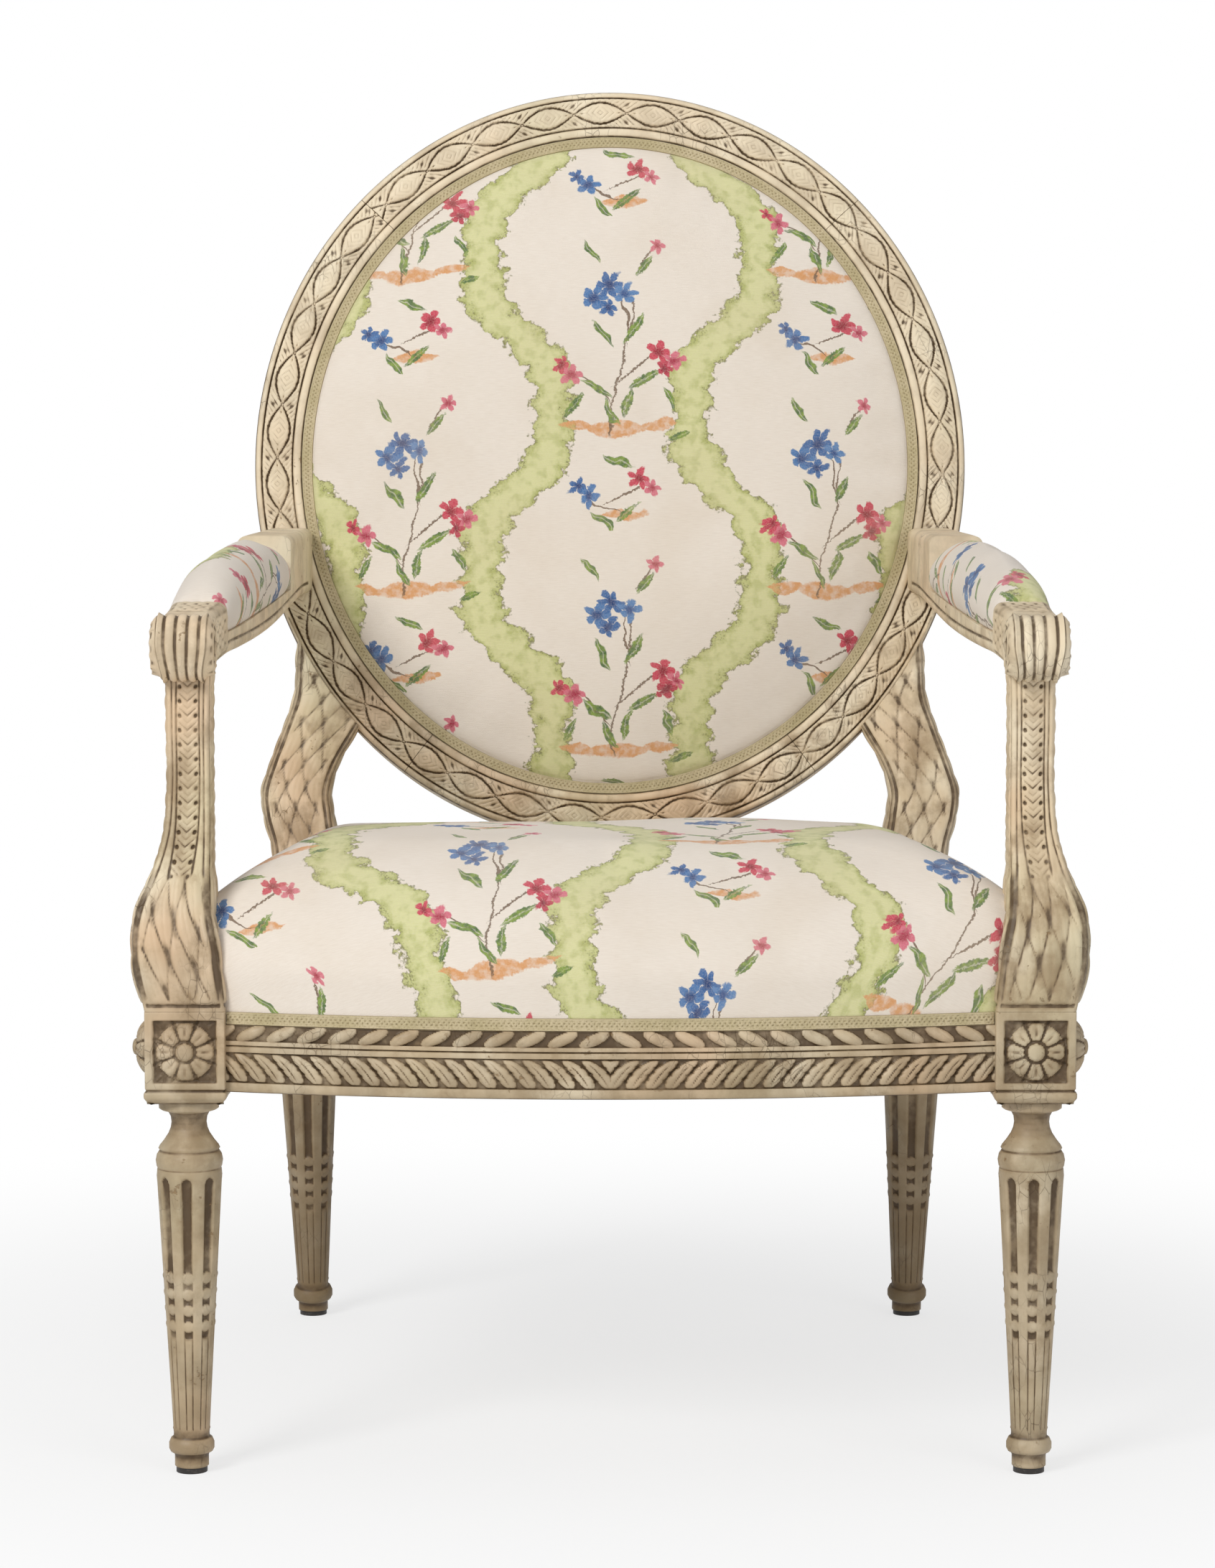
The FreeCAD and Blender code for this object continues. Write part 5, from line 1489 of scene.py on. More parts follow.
@dataclass
class OvalFrame:
    """Oval back frame in four lengths, with crossing laurel between plain fillets."""

    segments: tuple[tuple[str, float, float], ...] = (
        ("right", -55, 100), ("top", 45, 90), ("left", 135, 100), ("bottom", 235, 70))
    band: Lattice = Lattice()
    band_middle: float = 18.6
    bed: float = 12.6
    gap: float = 0.0008

    def profile(self) -> np.ndarray:
        """Outline across the frame as distance in from the outer edge and height over its plane.

        Returns:
            Points round the outline.
        """
        face = [(3, -15), (1, -14), (0, -12), (0, -6), (0, 0), (0, 6), (0.2, 9), (1.2, 11.6), (3, 12.9),
                (4.6, 12.6), (5.4, 11.4), (6, 10.6)]
        face += [(x, self.bed) for x in np.arange(6.7, 30.6, 0.8)]
        face += [(30.9, 10.8), (31.5, 12.4), (32.4, 13.2), (34.6, 13.4), (36.8, 12.9), (38, 11.6), (38, 7),
                 (38, 2)]
        return np.asarray(face + [(45, 2), (52, 2), (52, -11.5), (40, -11.5), (27, -11.5), (27, -15),
                                  (15, -15)])

    def line(self, start: float, sweep: float) -> tuple[np.ndarray, np.ndarray, np.ndarray]:
        """Outer edge of one length.

        Args:
            start: its first angle in degrees.
            sweep: how many degrees it covers.

        Returns:
            Points, inward directions, and distances along the edge from the oval's top.
        """
        turn = np.radians(90 + np.linspace(0, 360, 4001))
        edge = np.stack([CHAIR.oval_wide * np.cos(turn), CHAIR.oval_high * np.sin(turn)], axis=1)
        length = np.r_[0, np.cumsum(np.linalg.norm(np.diff(edge, axis=0), axis=1))]
        first = math.radians((start - 90) % 360) + self.gap
        angles = np.linspace(first, first + math.radians(sweep) - 2 * self.gap, int(sweep * 5.4))
        runs = np.interp(angles, turn - math.pi / 2, length)
        after = runs + np.interp(angles - 2 * math.pi, turn - math.pi / 2, length)
        runs = np.where(angles > 2 * math.pi, after, runs)
        spots = np.stack([-CHAIR.oval_wide * np.sin(angles), CHAIR.oval_high * np.cos(angles)], axis=1)
        inward = -np.stack([spots[:, 0] / CHAIR.oval_wide ** 2, spots[:, 1] / CHAIR.oval_high ** 2], axis=1)
        return spots, inward / np.linalg.norm(inward, axis=1)[:, None], runs

    def build(self) -> None:
        """Make the four lengths."""
        inset, up = self.profile().T
        for name, start, sweep in self.segments:
            spots, inward, runs = self.line(start, sweep)
            on_band = (up == self.bed) & (inset > 6.2) & (inset < 30.7)
            carve = np.where(on_band, self.band(runs[:, None], inset[None] - self.band_middle), 0)
            flat = np.empty((len(spots), len(inset), 3))
            flat[..., :2] = spots[:, None] + inward[:, None] * inset[None, :, None]
            flat[..., 2] = up + carve
            relief = np.where(up > 8, up + carve, 11.5)
            hollow = cavity(relief, 3, 1.0)
            shell = Shell("Carved_oval_" + name)
            shell.grid(CHAIR.tilt(flat), wrap_columns=True, hollow=hollow, caps=True)
            FINISHES.piece(shell, Slot.PAINT, "oval_" + name, sharp=55)


@dataclass
class Arm:
    """Arm rail with its seat for the pad and a ribbed, scrolled knuckle."""

    side: Side
    pad_start: float = 66.0
    pad_end: float = 385.0
    seat_front: float = 590.0
    seat_rear: float = 607.0
    table: tuple[tuple[float, float, float, float], ...] = (
        (2, 563, 41.4, 38), (30, 568, 40, 37), (66, 573, 39, 41), (130, 576, 56, 46), (200, 578, 60, 46),
        (300, 583, 62, 44), (390, 591, 58, 42), (460, 597, 53, 40), (526, 598, 53, 38))

    def carve(self, spots: np.ndarray, faces: np.ndarray, y: np.ndarray, size: np.ndarray) -> np.ndarray:
        """Leaf collar behind the knuckle and a sunk line along the sides.

        Args:
            spots: places on the sections, sideways and deep.
            faces: face that each step lies on, -1 on a corner.
            y: how far back each point lies.
            size: width and depth of each section.

        Returns:
            Height over the sections.
        """
        deep = size[:, 1:]
        v = spots[..., 1]
        sides = (faces == 1) | (faces == 3)
        line = -1.5 * groove(v + deep * 0.5 - 9.5, 1.1) * sides * ease(60, 72, y) * ease(505, 495, y)
        collar = 1.6 * Fronds(16, 8, 1.0)(-y, np.where(sides, v, spots[..., 0]))
        collar = collar * ease(64, 60, y) * ease(24, 28, y)
        shape = 0.6 * ease(66, 62, y) * ease(56, 62, y)
        return np.where(faces >= 0, line + collar + shape, 0)

    def cut(self, points: np.ndarray) -> np.ndarray:
        """Level the top for the pad and end the arm against the oval's front.

        Args:
            points: working points of the arm.

        Returns:
            The cut points.
        """
        y, z = points[..., 1], points[..., 2]
        seat = self.seat_front + (self.seat_rear - self.seat_front) * (y - self.pad_start) \
            / (self.pad_end - self.pad_start)
        inside = (y > self.pad_start) & (y < self.pad_end)
        points[..., 2] = np.where(inside, np.minimum(z, seat), z)
        flat = CHAIR.untilt(points)
        points[..., 1] -= np.where(flat[..., 2] < 10, (10 - flat[..., 2]) / math.cos(CHAIR.rake), 0)
        return points

    def knuckle(self, shell: Shell) -> None:
        """Add the scrolled knuckle: ribs round its roll, and a volute with beads on each end.

        Args:
            shell: the arm's patches.
        """
        radius, half, centre_z = 23.0, 20.5, 583.0
        x = np.concatenate([np.full(12, -half), np.linspace(-half, half, 70), np.full(12, half)])
        end = np.r_[np.linspace(0.02, 0.9, 12), np.ones(70), np.linspace(0.9, 0.02, 12)]
        angle = np.linspace(0, 2 * math.pi, 150, endpoint=False)
        side_round = np.sqrt(np.clip(1 - np.clip((np.abs(x) - half + 3) / 3.2, 0, 1) ** 2, 0, 1))
        ribs = 2.1 * np.abs(np.cos(math.pi * x / 8.2)) ** 0.8 * (np.abs(x) < half - 3.5)
        lip = 1.2 * groove(np.abs(x) - (half - 3), 1.6)
        rim = end > 0.95
        r = end * (radius - 2.2 + (ribs + lip + 0.8) * rim) * (1 - 0.10 * (1 - side_round) * rim)
        rr = r[:, None] * np.ones_like(angle)[None]
        spiral = np.mod(rr / 7.2 + angle[None] / (2 * math.pi) * self.side.value, 1.0)
        volute = 1.5 * np.sin(math.pi * spiral) ** 1.5 * (end[:, None] < 0.88) * (end[:, None] > 0.1)
        beads = 1.4 * groove(np.mod(angle[None] * 12 / math.pi, 2) - 1, 0.55) * groove(rr - 19, 2.2)
        boss = 2.5 * np.sqrt(np.clip(1 - (rr / 5) ** 2, 0, 1))
        outward = np.sign(x)[:, None] * (volute + beads + boss) * (end[:, None] < 0.95)
        points = np.empty((len(x), len(angle), 3))
        under = ease(0.2, -0.9, np.cos(angle))[None] * (end[:, None] > 0.95)
        points[..., 0] = self.side.value * CHAIR.arm_x + x[:, None] * (1 - 0.2 * under) + outward
        points[..., 1] = rr * np.sin(angle)
        points[..., 2] = centre_z + rr * np.cos(angle)
        height = rr + np.abs(outward)
        wide = cavity(height, 3, 0.55, False, True) * (end[:, None] > 0.95) \
            + cavity(np.abs(outward), 1, 0.5, False, True) * (end[:, None] < 0.95)
        shell.grid(points, wrap_columns=True, hollow=np.clip(wide, 0, 1), caps=True)

    def build(self) -> bpy.types.Object:
        """Make the arm.

        Returns:
            The piece.
        """
        shell = Shell("Carved_arm_" + self.side.word)
        stations = [(y, self.side.value * CHAIR.arm_line(y), low + high / 2, width, high)
                    for y, low, high, width in self.table]
        Member(stations, self.carve, upright=False, step=1.5, radius=7, ring=Ring(28, 36, 6)
               ).build(shell, self.cut)
        self.knuckle(shell)
        return FINISHES.piece(shell, Slot.PAINT, "arm_" + self.side.word)


@dataclass
class ArmSupport:
    """S-shaped support: husks up its column, laid leaves over its flaring foot."""

    side: Side
    husks: Chevrons = Chevrons()
    table: tuple[tuple[float, float, float, float, float], ...] = (
        (331, 28, 56, 0, 56), (369, 36, 59, 4, 56), (400, 34, 51, 10, 50), (423, 25, 41, 15, 44),
        (450, 17, 33, 19, 38), (483, 14, 30, 20, 35), (530, 14, 30, 20, 35), (574, 14, 31, 18, 35))

    def carve(self, spots: np.ndarray, faces: np.ndarray, z: np.ndarray, size: np.ndarray) -> np.ndarray:
        """Husks on the column's front, leaves on its sides and round its foot.

        Args:
            spots: places on the sections, sideways and deep.
            faces: face that each step lies on, -1 on a corner.
            z: height of each point.
            size: width and depth of each section.

        Returns:
            Height over the sections.
        """
        width, deep = size[:, :1], size[:, 1:]
        x, y = spots[..., 0], spots[..., 1]
        front = (faces == 0) | (faces == 2)
        across = np.where(front, x, y)
        room = np.where(front, width, deep) / 2
        column = ease(418, 430, z)
        chain = self.husks(z, x) * (faces == 0)
        small = Fronds(17, 10, 2.0)(z, across) * (faces != 0) * ease(0, 2.5, room - 4.0 - np.abs(across))
        border = -1.0 * groove(room - 4.0 - np.abs(across), 0.9)
        leaf = Fronds(56, 15.5, 4.2)(z - 0.5 * x * self.side.value, across / room * 27 + (z - 331) * 0.11)
        leaf = leaf * ease(0, 3.0, room - 3.0 - np.abs(across)) * ease(334, 340, z)
        ring = -1.6 * groove(z - 335.5, 1.1)
        height = column * (chain + small + border) + (1 - column) * leaf + ring
        return np.where(faces >= 0, height, 0)

    def build(self) -> bpy.types.Object:
        """Make the support.

        Returns:
            The piece.
        """
        sign = self.side.value
        stations = [(z, sign * (CHAIR.leg_x + outer - width / 2), y, width, deep)
                    for z, outer, width, y, deep in self.table]
        shell = Shell("Carved_arm_support_" + self.side.word)
        Member(stations, self.carve, step=0.9, radius=3.0, ring=Ring(52, 44, 4)).build(shell)
        return FINISHES.piece(shell, Slot.PAINT, "arm_support_" + self.side.word)


# ---- Upholstery ----
def bend(a: np.ndarray, b: np.ndarray, c: np.ndarray, count: int) -> np.ndarray:
    """Points of the arc through three points.

    Args:
        a: first point.
        b: point on the arc.
        c: last point.
        count: number of points, without the last.

    Returns:
        The points.
    """
    m = np.array([b - a, c - a])
    centre = a + np.linalg.solve(2 * m, (m ** 2).sum(axis=1))
    spin = [math.atan2(*(p - centre)[::-1]) for p in (a, b, c)]
    whole = (spin[2] - spin[0]) % (2 * math.pi)
    if (spin[1] - spin[0]) % (2 * math.pi) > whole:
        whole -= 2 * math.pi
    turn = spin[0] + whole * np.arange(count) / count
    return centre + np.linalg.norm(a - centre) * np.stack([np.cos(turn), np.sin(turn)], axis=1)


def ruffle(x: np.ndarray, y: np.ndarray, reach: float, seed: float) -> np.ndarray:
    """Gentle unevenness of stuffing, from a few crossed waves.

    Args:
        x: place one way, in millimetres.
        y: place the other way.
        reach: wave length.
        seed: shifts the waves.

    Returns:
        Height between about -1 and 1.
    """
    out = np.zeros(np.broadcast(x, y).shape)
    for k in range(7):
        turn = float(chance(np.array(k), seed)) * 6.283
        wave = reach * (0.7 + 0.8 * float(chance(np.array(k), seed + 1)))
        out = out + np.sin((x * math.cos(turn) + y * math.sin(turn)) * 6.283 / wave + 5 * k + seed)
    return out / 4


def unroll(points: np.ndarray, middle: np.ndarray) -> np.ndarray:
    """Lay a domed cover flat, pushing its rings out by what the slope adds to their reach.

    Args:
        points: rings of points from the edge to the middle, rows by columns by 3.
        middle: flat place that they close on.

    Returns:
        Flat place of each point on the cloth.
    """
    start = np.zeros(points.shape[1])
    arc, plan = (np.vstack([start, np.cumsum(np.linalg.norm(np.diff(part, axis=0), axis=2), axis=0)])
                 for part in (points, points[..., :2]))
    away = points[..., :2] - middle
    away = away / np.maximum(np.linalg.norm(away, axis=2), 1)[..., None]
    return points[..., :2] + away * ((arc[-1] - arc) - (plan[-1] - plan))[..., None]


@dataclass
class Stuffing:
    """Air pressure under a cover, run as cloth on a coarse copy and carried over to the fine grid."""

    pressure: float = 4.0
    cap: float = 7.0
    rows: int = 4
    columns: int = 6
    frames: int = 20

    def coarse(self, points: np.ndarray, free: np.ndarray) -> tuple[bpy.types.Object, int]:
        """Make the coarse copy with its pinned edge.

        Args:
            points: coarse grid of points.
            free: 1 where the cover may move, 0 where it is tacked.

        Returns:
            The object and its number of grid points.
        """
        high, wide = points.shape[:2]
        index = np.arange(high * wide).reshape(high, wide)
        index = np.hstack([index, index[:, :1]])
        corners = [index[:-1, :-1], index[1:, :-1], index[1:, 1:], index[:-1, 1:]]
        quads = np.stack(corners, axis=-1).reshape(-1, 4)
        tip = high * wide
        fan = [(int(a), int(b), tip) for a, b in zip(index[-1][:-1], index[-1][1:])]
        base = [(int(b), int(a), tip + 1) for a, b in zip(index[0][:-1], index[0][1:])]
        spots = np.vstack([points.reshape(-1, 3), points[-1].mean(axis=0), points[0].mean(axis=0)])
        mesh = bpy.data.meshes.new("Cover_settling")
        mesh.from_pydata(PLACE.to_metres(spots).tolist(), [], [tuple(q) for q in quads.tolist()] + fan + base)
        body = bpy.data.objects.new("Cover_settling", mesh)
        bpy.context.scene.collection.objects.link(body)
        held = body.vertex_groups.new(name="tacked")
        stiff = np.r_[1 - free.reshape(-1), 0.0 if free[-1].mean() > 0.5 else 1.0, 1.0]
        for spot, weight in enumerate(stiff.tolist()):
            held.add([spot], weight, "REPLACE")
        work = bmesh.new()
        work.from_mesh(mesh)
        bmesh.ops.recalc_face_normals(work, faces=work.faces)
        work.to_mesh(mesh)
        work.free()
        return body, tip

    def settle(self, points: np.ndarray, free: np.ndarray) -> np.ndarray:
        """Let the cover swell between its tacked edges.

        Args:
            points: fine grid of points whose last row meets the first column.
            free: 1 where the cover may move, 0 where it is tacked.

        Returns:
            The swollen grid.
        """
        rows = np.unique(np.r_[np.arange(0, points.shape[0], self.rows), points.shape[0] - 1])
        columns = np.arange(0, points.shape[1], self.columns)
        start = points[np.ix_(rows, columns)]
        body, count = self.coarse(start, free[np.ix_(rows, columns)])
        cloth = body.modifiers.new("Swelling", "CLOTH")
        rules = cloth.settings
        rules.quality = 6
        rules.mass = 0.3
        rules.tension_stiffness = rules.compression_stiffness = 20
        rules.bending_stiffness = 1.5
        rules.use_pressure = True
        rules.uniform_pressure_force = self.pressure
        rules.vertex_group_mass = "tacked"
        rules.effector_weights.gravity = 0
        cloth.point_cache.frame_start, cloth.point_cache.frame_end = 1, self.frames
        scene = bpy.context.scene
        for frame_number in range(1, self.frames + 1):
            scene.frame_set(frame_number)
        shaped = body.evaluated_get(bpy.context.evaluated_depsgraph_get()).to_mesh()
        flat = np.zeros(len(shaped.vertices) * 3)
        shaped.vertices.foreach_get("co", flat)
        body.evaluated_get(bpy.context.evaluated_depsgraph_get()).to_mesh_clear()
        scene.frame_set(1)
        bpy.data.objects.remove(body)
        moved = flat.reshape(-1, 3)[:count] / MM
        moved[:, 1] -= PLACE.front_y / MM
        shift = moved.reshape(start.shape) - start
        length = np.linalg.norm(shift, axis=2, keepdims=True)
        shift *= np.minimum(1, self.cap / np.maximum(length, 1e-6))
        LOG.info("cover swelled by up to %.1f mm", float(np.minimum(length, self.cap).max()))
        wrapped = np.concatenate([shift, shift[:, :1]], axis=1)
        edges = np.r_[columns, points.shape[1]]
        fine = np.stack([[np.interp(np.arange(points.shape[1]), edges, wrapped[r, :, k]) for k in range(3)]
                         for r in range(len(rows))]).transpose(0, 2, 1)
        out = np.empty_like(points)
        for k in range(3):
            for c in range(points.shape[1]):
                out[:, c, k] = np.interp(np.arange(points.shape[0]), rows, fine[:, c, k])
            out[..., k] = blur(blur(out[..., k], 2, False, True), 2, False, True)
        return points + out * free[..., None]


@dataclass
class SeatCover:
    """Cover of the stuffed seat, from the tacking line over the edge to the crown."""

    wall: float = 352.0
    crown: float = 437.0
    low: float = 321.6
    inset: float = 2.2
    round_over: float = 110.0
    rear_fall: float = 24.0
    front_steps: int = 170
    side_steps: int = 130
    rear_steps: int = 110
    corner_steps: int = 16
    post_x: float = 223.6
    post_y: float = 456.2

    def rounded(self, start: np.ndarray, corner: np.ndarray, end: np.ndarray) -> np.ndarray:
        """Round a corner off.

        Args:
            start: where the rounding starts.
            corner: the sharp corner.
            end: where it ends.

        Returns:
            Points of the rounding.
        """
        soft = corner + ((start - corner) + (end - corner)) * (1 - math.sqrt(0.5))
        return bend(start, soft, end, self.corner_steps)

    def straight(self, start: np.ndarray, end: np.ndarray, count: int) -> np.ndarray:
        """Divide a straight run.

        Args:
            start: its first point.
            end: its last point, which is left out.
            count: number of points.

        Returns:
            The points.
        """
        return start + (end - start) * (np.arange(count) / count)[:, None]

    def ring(self, inset: float, height: float) -> np.ndarray:
        """Plan of the seat at one height.

        Args:
            inset: distance inside the rails' faces.
            height: height of the ring.

        Returns:
            Points round the ring.
        """
        plan = self.outline(inset)
        return np.c_[plan, np.full(len(plan), height)]

    def outline(self, inset: float) -> np.ndarray:
        """Plan of the seat with its rounded corners.

        Args:
            inset: distance inside the rails' faces.

        Returns:
            Points round the plan, the same count for every inset.
        """
        nose = 8 - CHAIR.block_half - CHAIR.bow + inset
        corner_x = float(CHAIR.side_line(0.0)) + 3.3 - inset
        rear_y = CHAIR.depth + 14 - inset
        trim = 10 + 0.5 * inset
        corner_y = nose + float(CHAIR.bow_line(corner_x))
        front_x = corner_x - trim
        xs = np.linspace(-front_x, front_x, self.front_steps, endpoint=False)
        front = np.stack([xs, nose + CHAIR.bow_line(xs)], axis=1)
        a, b = (np.array([x, nose + float(CHAIR.bow_line(x))]) for x in (front_x, corner_x))
        c, d, e = (np.array([float(CHAIR.side_line(y)) - inset, y])
                   for y in (corner_y + trim, rear_y - trim, rear_y))
        f = e - np.array([trim, 0])
        mirror = np.array([-1, 1])
        spots = [front]
        for ends, corner, run in (((a, c), b, (d, self.side_steps)),
                                  ((d, f), e, (f * mirror, self.rear_steps))):
            spots.append(self.rounded(ends[0], corner, ends[1]))
            spots.append(self.straight(ends[1], *run))
        spots.append(self.rounded(f * mirror, e * mirror, d * mirror))
        spots.append(self.straight(d * mirror, c * mirror, self.side_steps))
        spots.append(self.rounded(c * mirror, b * mirror, a * mirror))
        return np.vstack(spots)

    def clear(self, points: np.ndarray) -> np.ndarray:
        """Tuck the cover against the leg blocks, arm supports and rear posts.

        Args:
            points: working points of the cover.

        Returns:
            The same points, moved clear.
        """
        x, y, z = points[..., 0], points[..., 1], points[..., 2]
        keys = (331, 369, 400, 423, 450)
        inner = np.interp(z, keys, (268, 273, 279, 280, 280)) + 1.2
        behind = np.interp(z, keys, (28, 32, 35, 37, 38)) - 1.2
        away, sign = np.abs(x), np.sign(x)
        at_front = (away > inner) & (y < behind)
        go_in = at_front & ((away - inner) < (behind - y))
        points[..., 0] = np.where(go_in, sign * inner, x)
        points[..., 1] = np.where(at_front & ~go_in, behind, y)
        x, y = points[..., 0], points[..., 1]
        at_rear = (np.abs(x) > self.post_x) & (y > self.post_y)
        go_in = at_rear & ((np.abs(x) - self.post_x) < (y - self.post_y))
        points[..., 0] = np.where(go_in, sign * self.post_x, x)
        points[..., 1] = np.where(at_rear & ~go_in, self.post_y, y)
        return points

    def build(self) -> bpy.types.Object:
        """Make the cover.

        Returns:
            The piece.
        """
        heights = list(np.linspace(self.low, self.wall, 12, endpoint=False))
        levels = [(self.inset, z) for z in heights]
        turns = np.radians(np.linspace(0, 90, 46))
        rise = self.crown - self.wall
        levels += [(self.inset + self.round_over * (1 - math.cos(t)), self.wall + rise * math.sin(t))
                   for t in turns]
        rings = [self.ring(inset, z) for inset, z in levels]
        last = rings[-1]
        middle = np.array([0, CHAIR.seat_middle, self.crown])
        for share in np.linspace(0, 1, 34)[1:-1]:
            ring = last + (middle - last) * share
            ring[:, 2] = self.crown + 2.0 * (1 - (1 - share) ** 2)
            rings.append(ring)
        points = np.stack(rings)
        cloth = unroll(points, points[-1][..., :2])
        lift = ruffle(points[..., 0], points[..., 1], 190, 2.0) * 1.6
        points = Stuffing().settle(points, ease(self.wall - 8, self.wall + 30, points[..., 2]))
        fall = self.rear_fall * ease(120, 460, points[..., 1])
        points[..., 2] += (lift - fall) * ease(self.wall, self.wall + 40, points[..., 2])
        points = self.clear(points)
        shell = Shell("Seat_cover")
        shell.grid(points, wrap_columns=True, cloth=cloth, caps=True)
        piece = FINISHES.piece(shell, Slot.COTTON, "seat_cover", "seat_stuffing")
        return piece


@dataclass
class BackCover:
    """Cover of the stuffed back, domed inside the oval frame."""

    inset: float = 38.3
    flange: float = 9.0
    edge: float = 10.2
    crown: float = 32.0
    low: float = 5.3

    def build(self) -> bpy.types.Object:
        """Make the cover.

        Returns:
            The piece.
        """
        wide, high = CHAIR.oval_wide - self.inset, CHAIR.oval_high - self.inset
        turn = np.linspace(0, 2 * math.pi, 560, endpoint=False)
        rings = [(wide, high, self.low), (wide, high, self.edge - 1), (wide - 1, high - 1, self.edge)]
        rim = wide - self.flange
        rings += [(wide - self.flange + 1.5, high - self.flange + 1.5, self.edge)]
        for share in np.r_[np.linspace(1, 0.9, 24), np.linspace(0.89, 0.02, 60)]:
            swell = (1 - share ** 4) ** 0.6
            rings.append((rim * share, high - self.flange - rim * (1 - share), self.edge
                          + (self.crown - self.edge) * swell))
        points = np.stack([np.stack([a * np.cos(turn), b * np.sin(turn), np.full(len(turn), h)], axis=1)
                           for a, b, h in rings])
        cloth = unroll(points, np.zeros(2)) + np.array([76.0, 30.0])
        pull = ruffle(points[..., 0], points[..., 1], 170, 5.0) * 1.5
        inner = ease(self.edge + 4, self.crown - 4, points[..., 2])
        pucker = 0.5 * np.sin(turn * 37 + 2 * np.sin(turn * 5))
        pucker = pucker * ease(self.edge, self.edge + 3, points[..., 2])
        pucker = pucker * ease(self.crown - 2, self.edge + 6, points[..., 2])
        points[..., 2] += pull * inner + pucker
        free = ease(self.edge + 1, self.edge + 10, points[..., 2])
        points = Stuffing(cap=5.0).settle(CHAIR.tilt(points), free)
        shell = Shell("Back_cover")
        shell.grid(points, wrap_columns=True, cloth=cloth, caps=True)
        piece = FINISHES.piece(shell, Slot.COTTON, "back_cover", "back_stuffing")
        return piece


@dataclass
class ArmPad:
    """Barrel-shaped pad on an arm, with its cover."""

    side: Side
    start: float = 66.4
    end: float = 384.6
    width: float = 51.0
    high: float = 48.0

    def section(self, back: float) -> np.ndarray:
        """Outline across the pad at a place along it.

        Args:
            back: distance behind the front legs.

        Returns:
            Points from one foot over the top to the other foot, then back beneath.
        """
        share = (back - self.start) / (self.end - self.start)
        swell = math.sqrt(max(0.0, 1 - abs(2 * share - 1) ** 2.6))
        half = self.width * (0.4 + 0.1 * swell)
        low = 590.3 + 17 * share
        full = self.high * (0.3 + 0.7 * swell)
        middle = self.side.value * CHAIR.arm_line(back)
        foot, belly, top = 0.84 * half, low + full * 0.45, np.array([0.0, low + full])
        right, left = np.array([foot, low]), np.array([-foot, low])
        over = np.vstack([bend(right, np.array([half, belly]), top, 30),
                          bend(top, np.array([-half, belly]), left, 30)])
        under = np.stack([np.linspace(-foot, foot, 9)[:-1], np.full(8, low)], axis=1)
        flat = np.vstack([over, under])
        return np.stack([flat[:, 0] + middle, np.full(len(flat), back), flat[:, 1]], axis=1)

    def build(self) -> bpy.types.Object:
        """Make the pad with its cover.

        Returns:
            The piece.
        """
        spread = (1 - np.cos(np.linspace(0, math.pi, 150))) / 2
        places = self.start + (self.end - self.start) * (0.35 * spread + 0.65 * np.linspace(0, 1, 150))
        points = np.stack([self.section(float(y)) for y in places])
        girth = np.linalg.norm(np.diff(points, axis=1), axis=2).cumsum(axis=1)
        around = np.hstack([np.zeros((len(places), 1)), girth])
        cloth = np.stack([around - girth[:, 29:30] + self.side.value * 40, points[..., 1] * 1.04], axis=-1)
        top = ease(0.2, 0.6, (points[..., 2] - points[..., 2].min(axis=1, keepdims=True)) / self.high)
        points[..., 2] += ruffle(points[..., 0], points[..., 1], 90, 7.0 + self.side.value) * 0.9 * top
        ends = ease(0, 14, points[..., 1] - self.start) * ease(0, 14, self.end - points[..., 1])
        points = Stuffing(cap=2.5, rows=5, columns=2).settle(points, top * ends)
        shell = Shell("Arm_pad_cover_" + self.side.word)
        shell.grid(points, wrap_columns=True, cloth=cloth, caps=True)
        word = self.side.word
        piece = FINISHES.piece(shell, Slot.COTTON, "arm_cover_" + word, "arm_pad_" + word)
        return piece


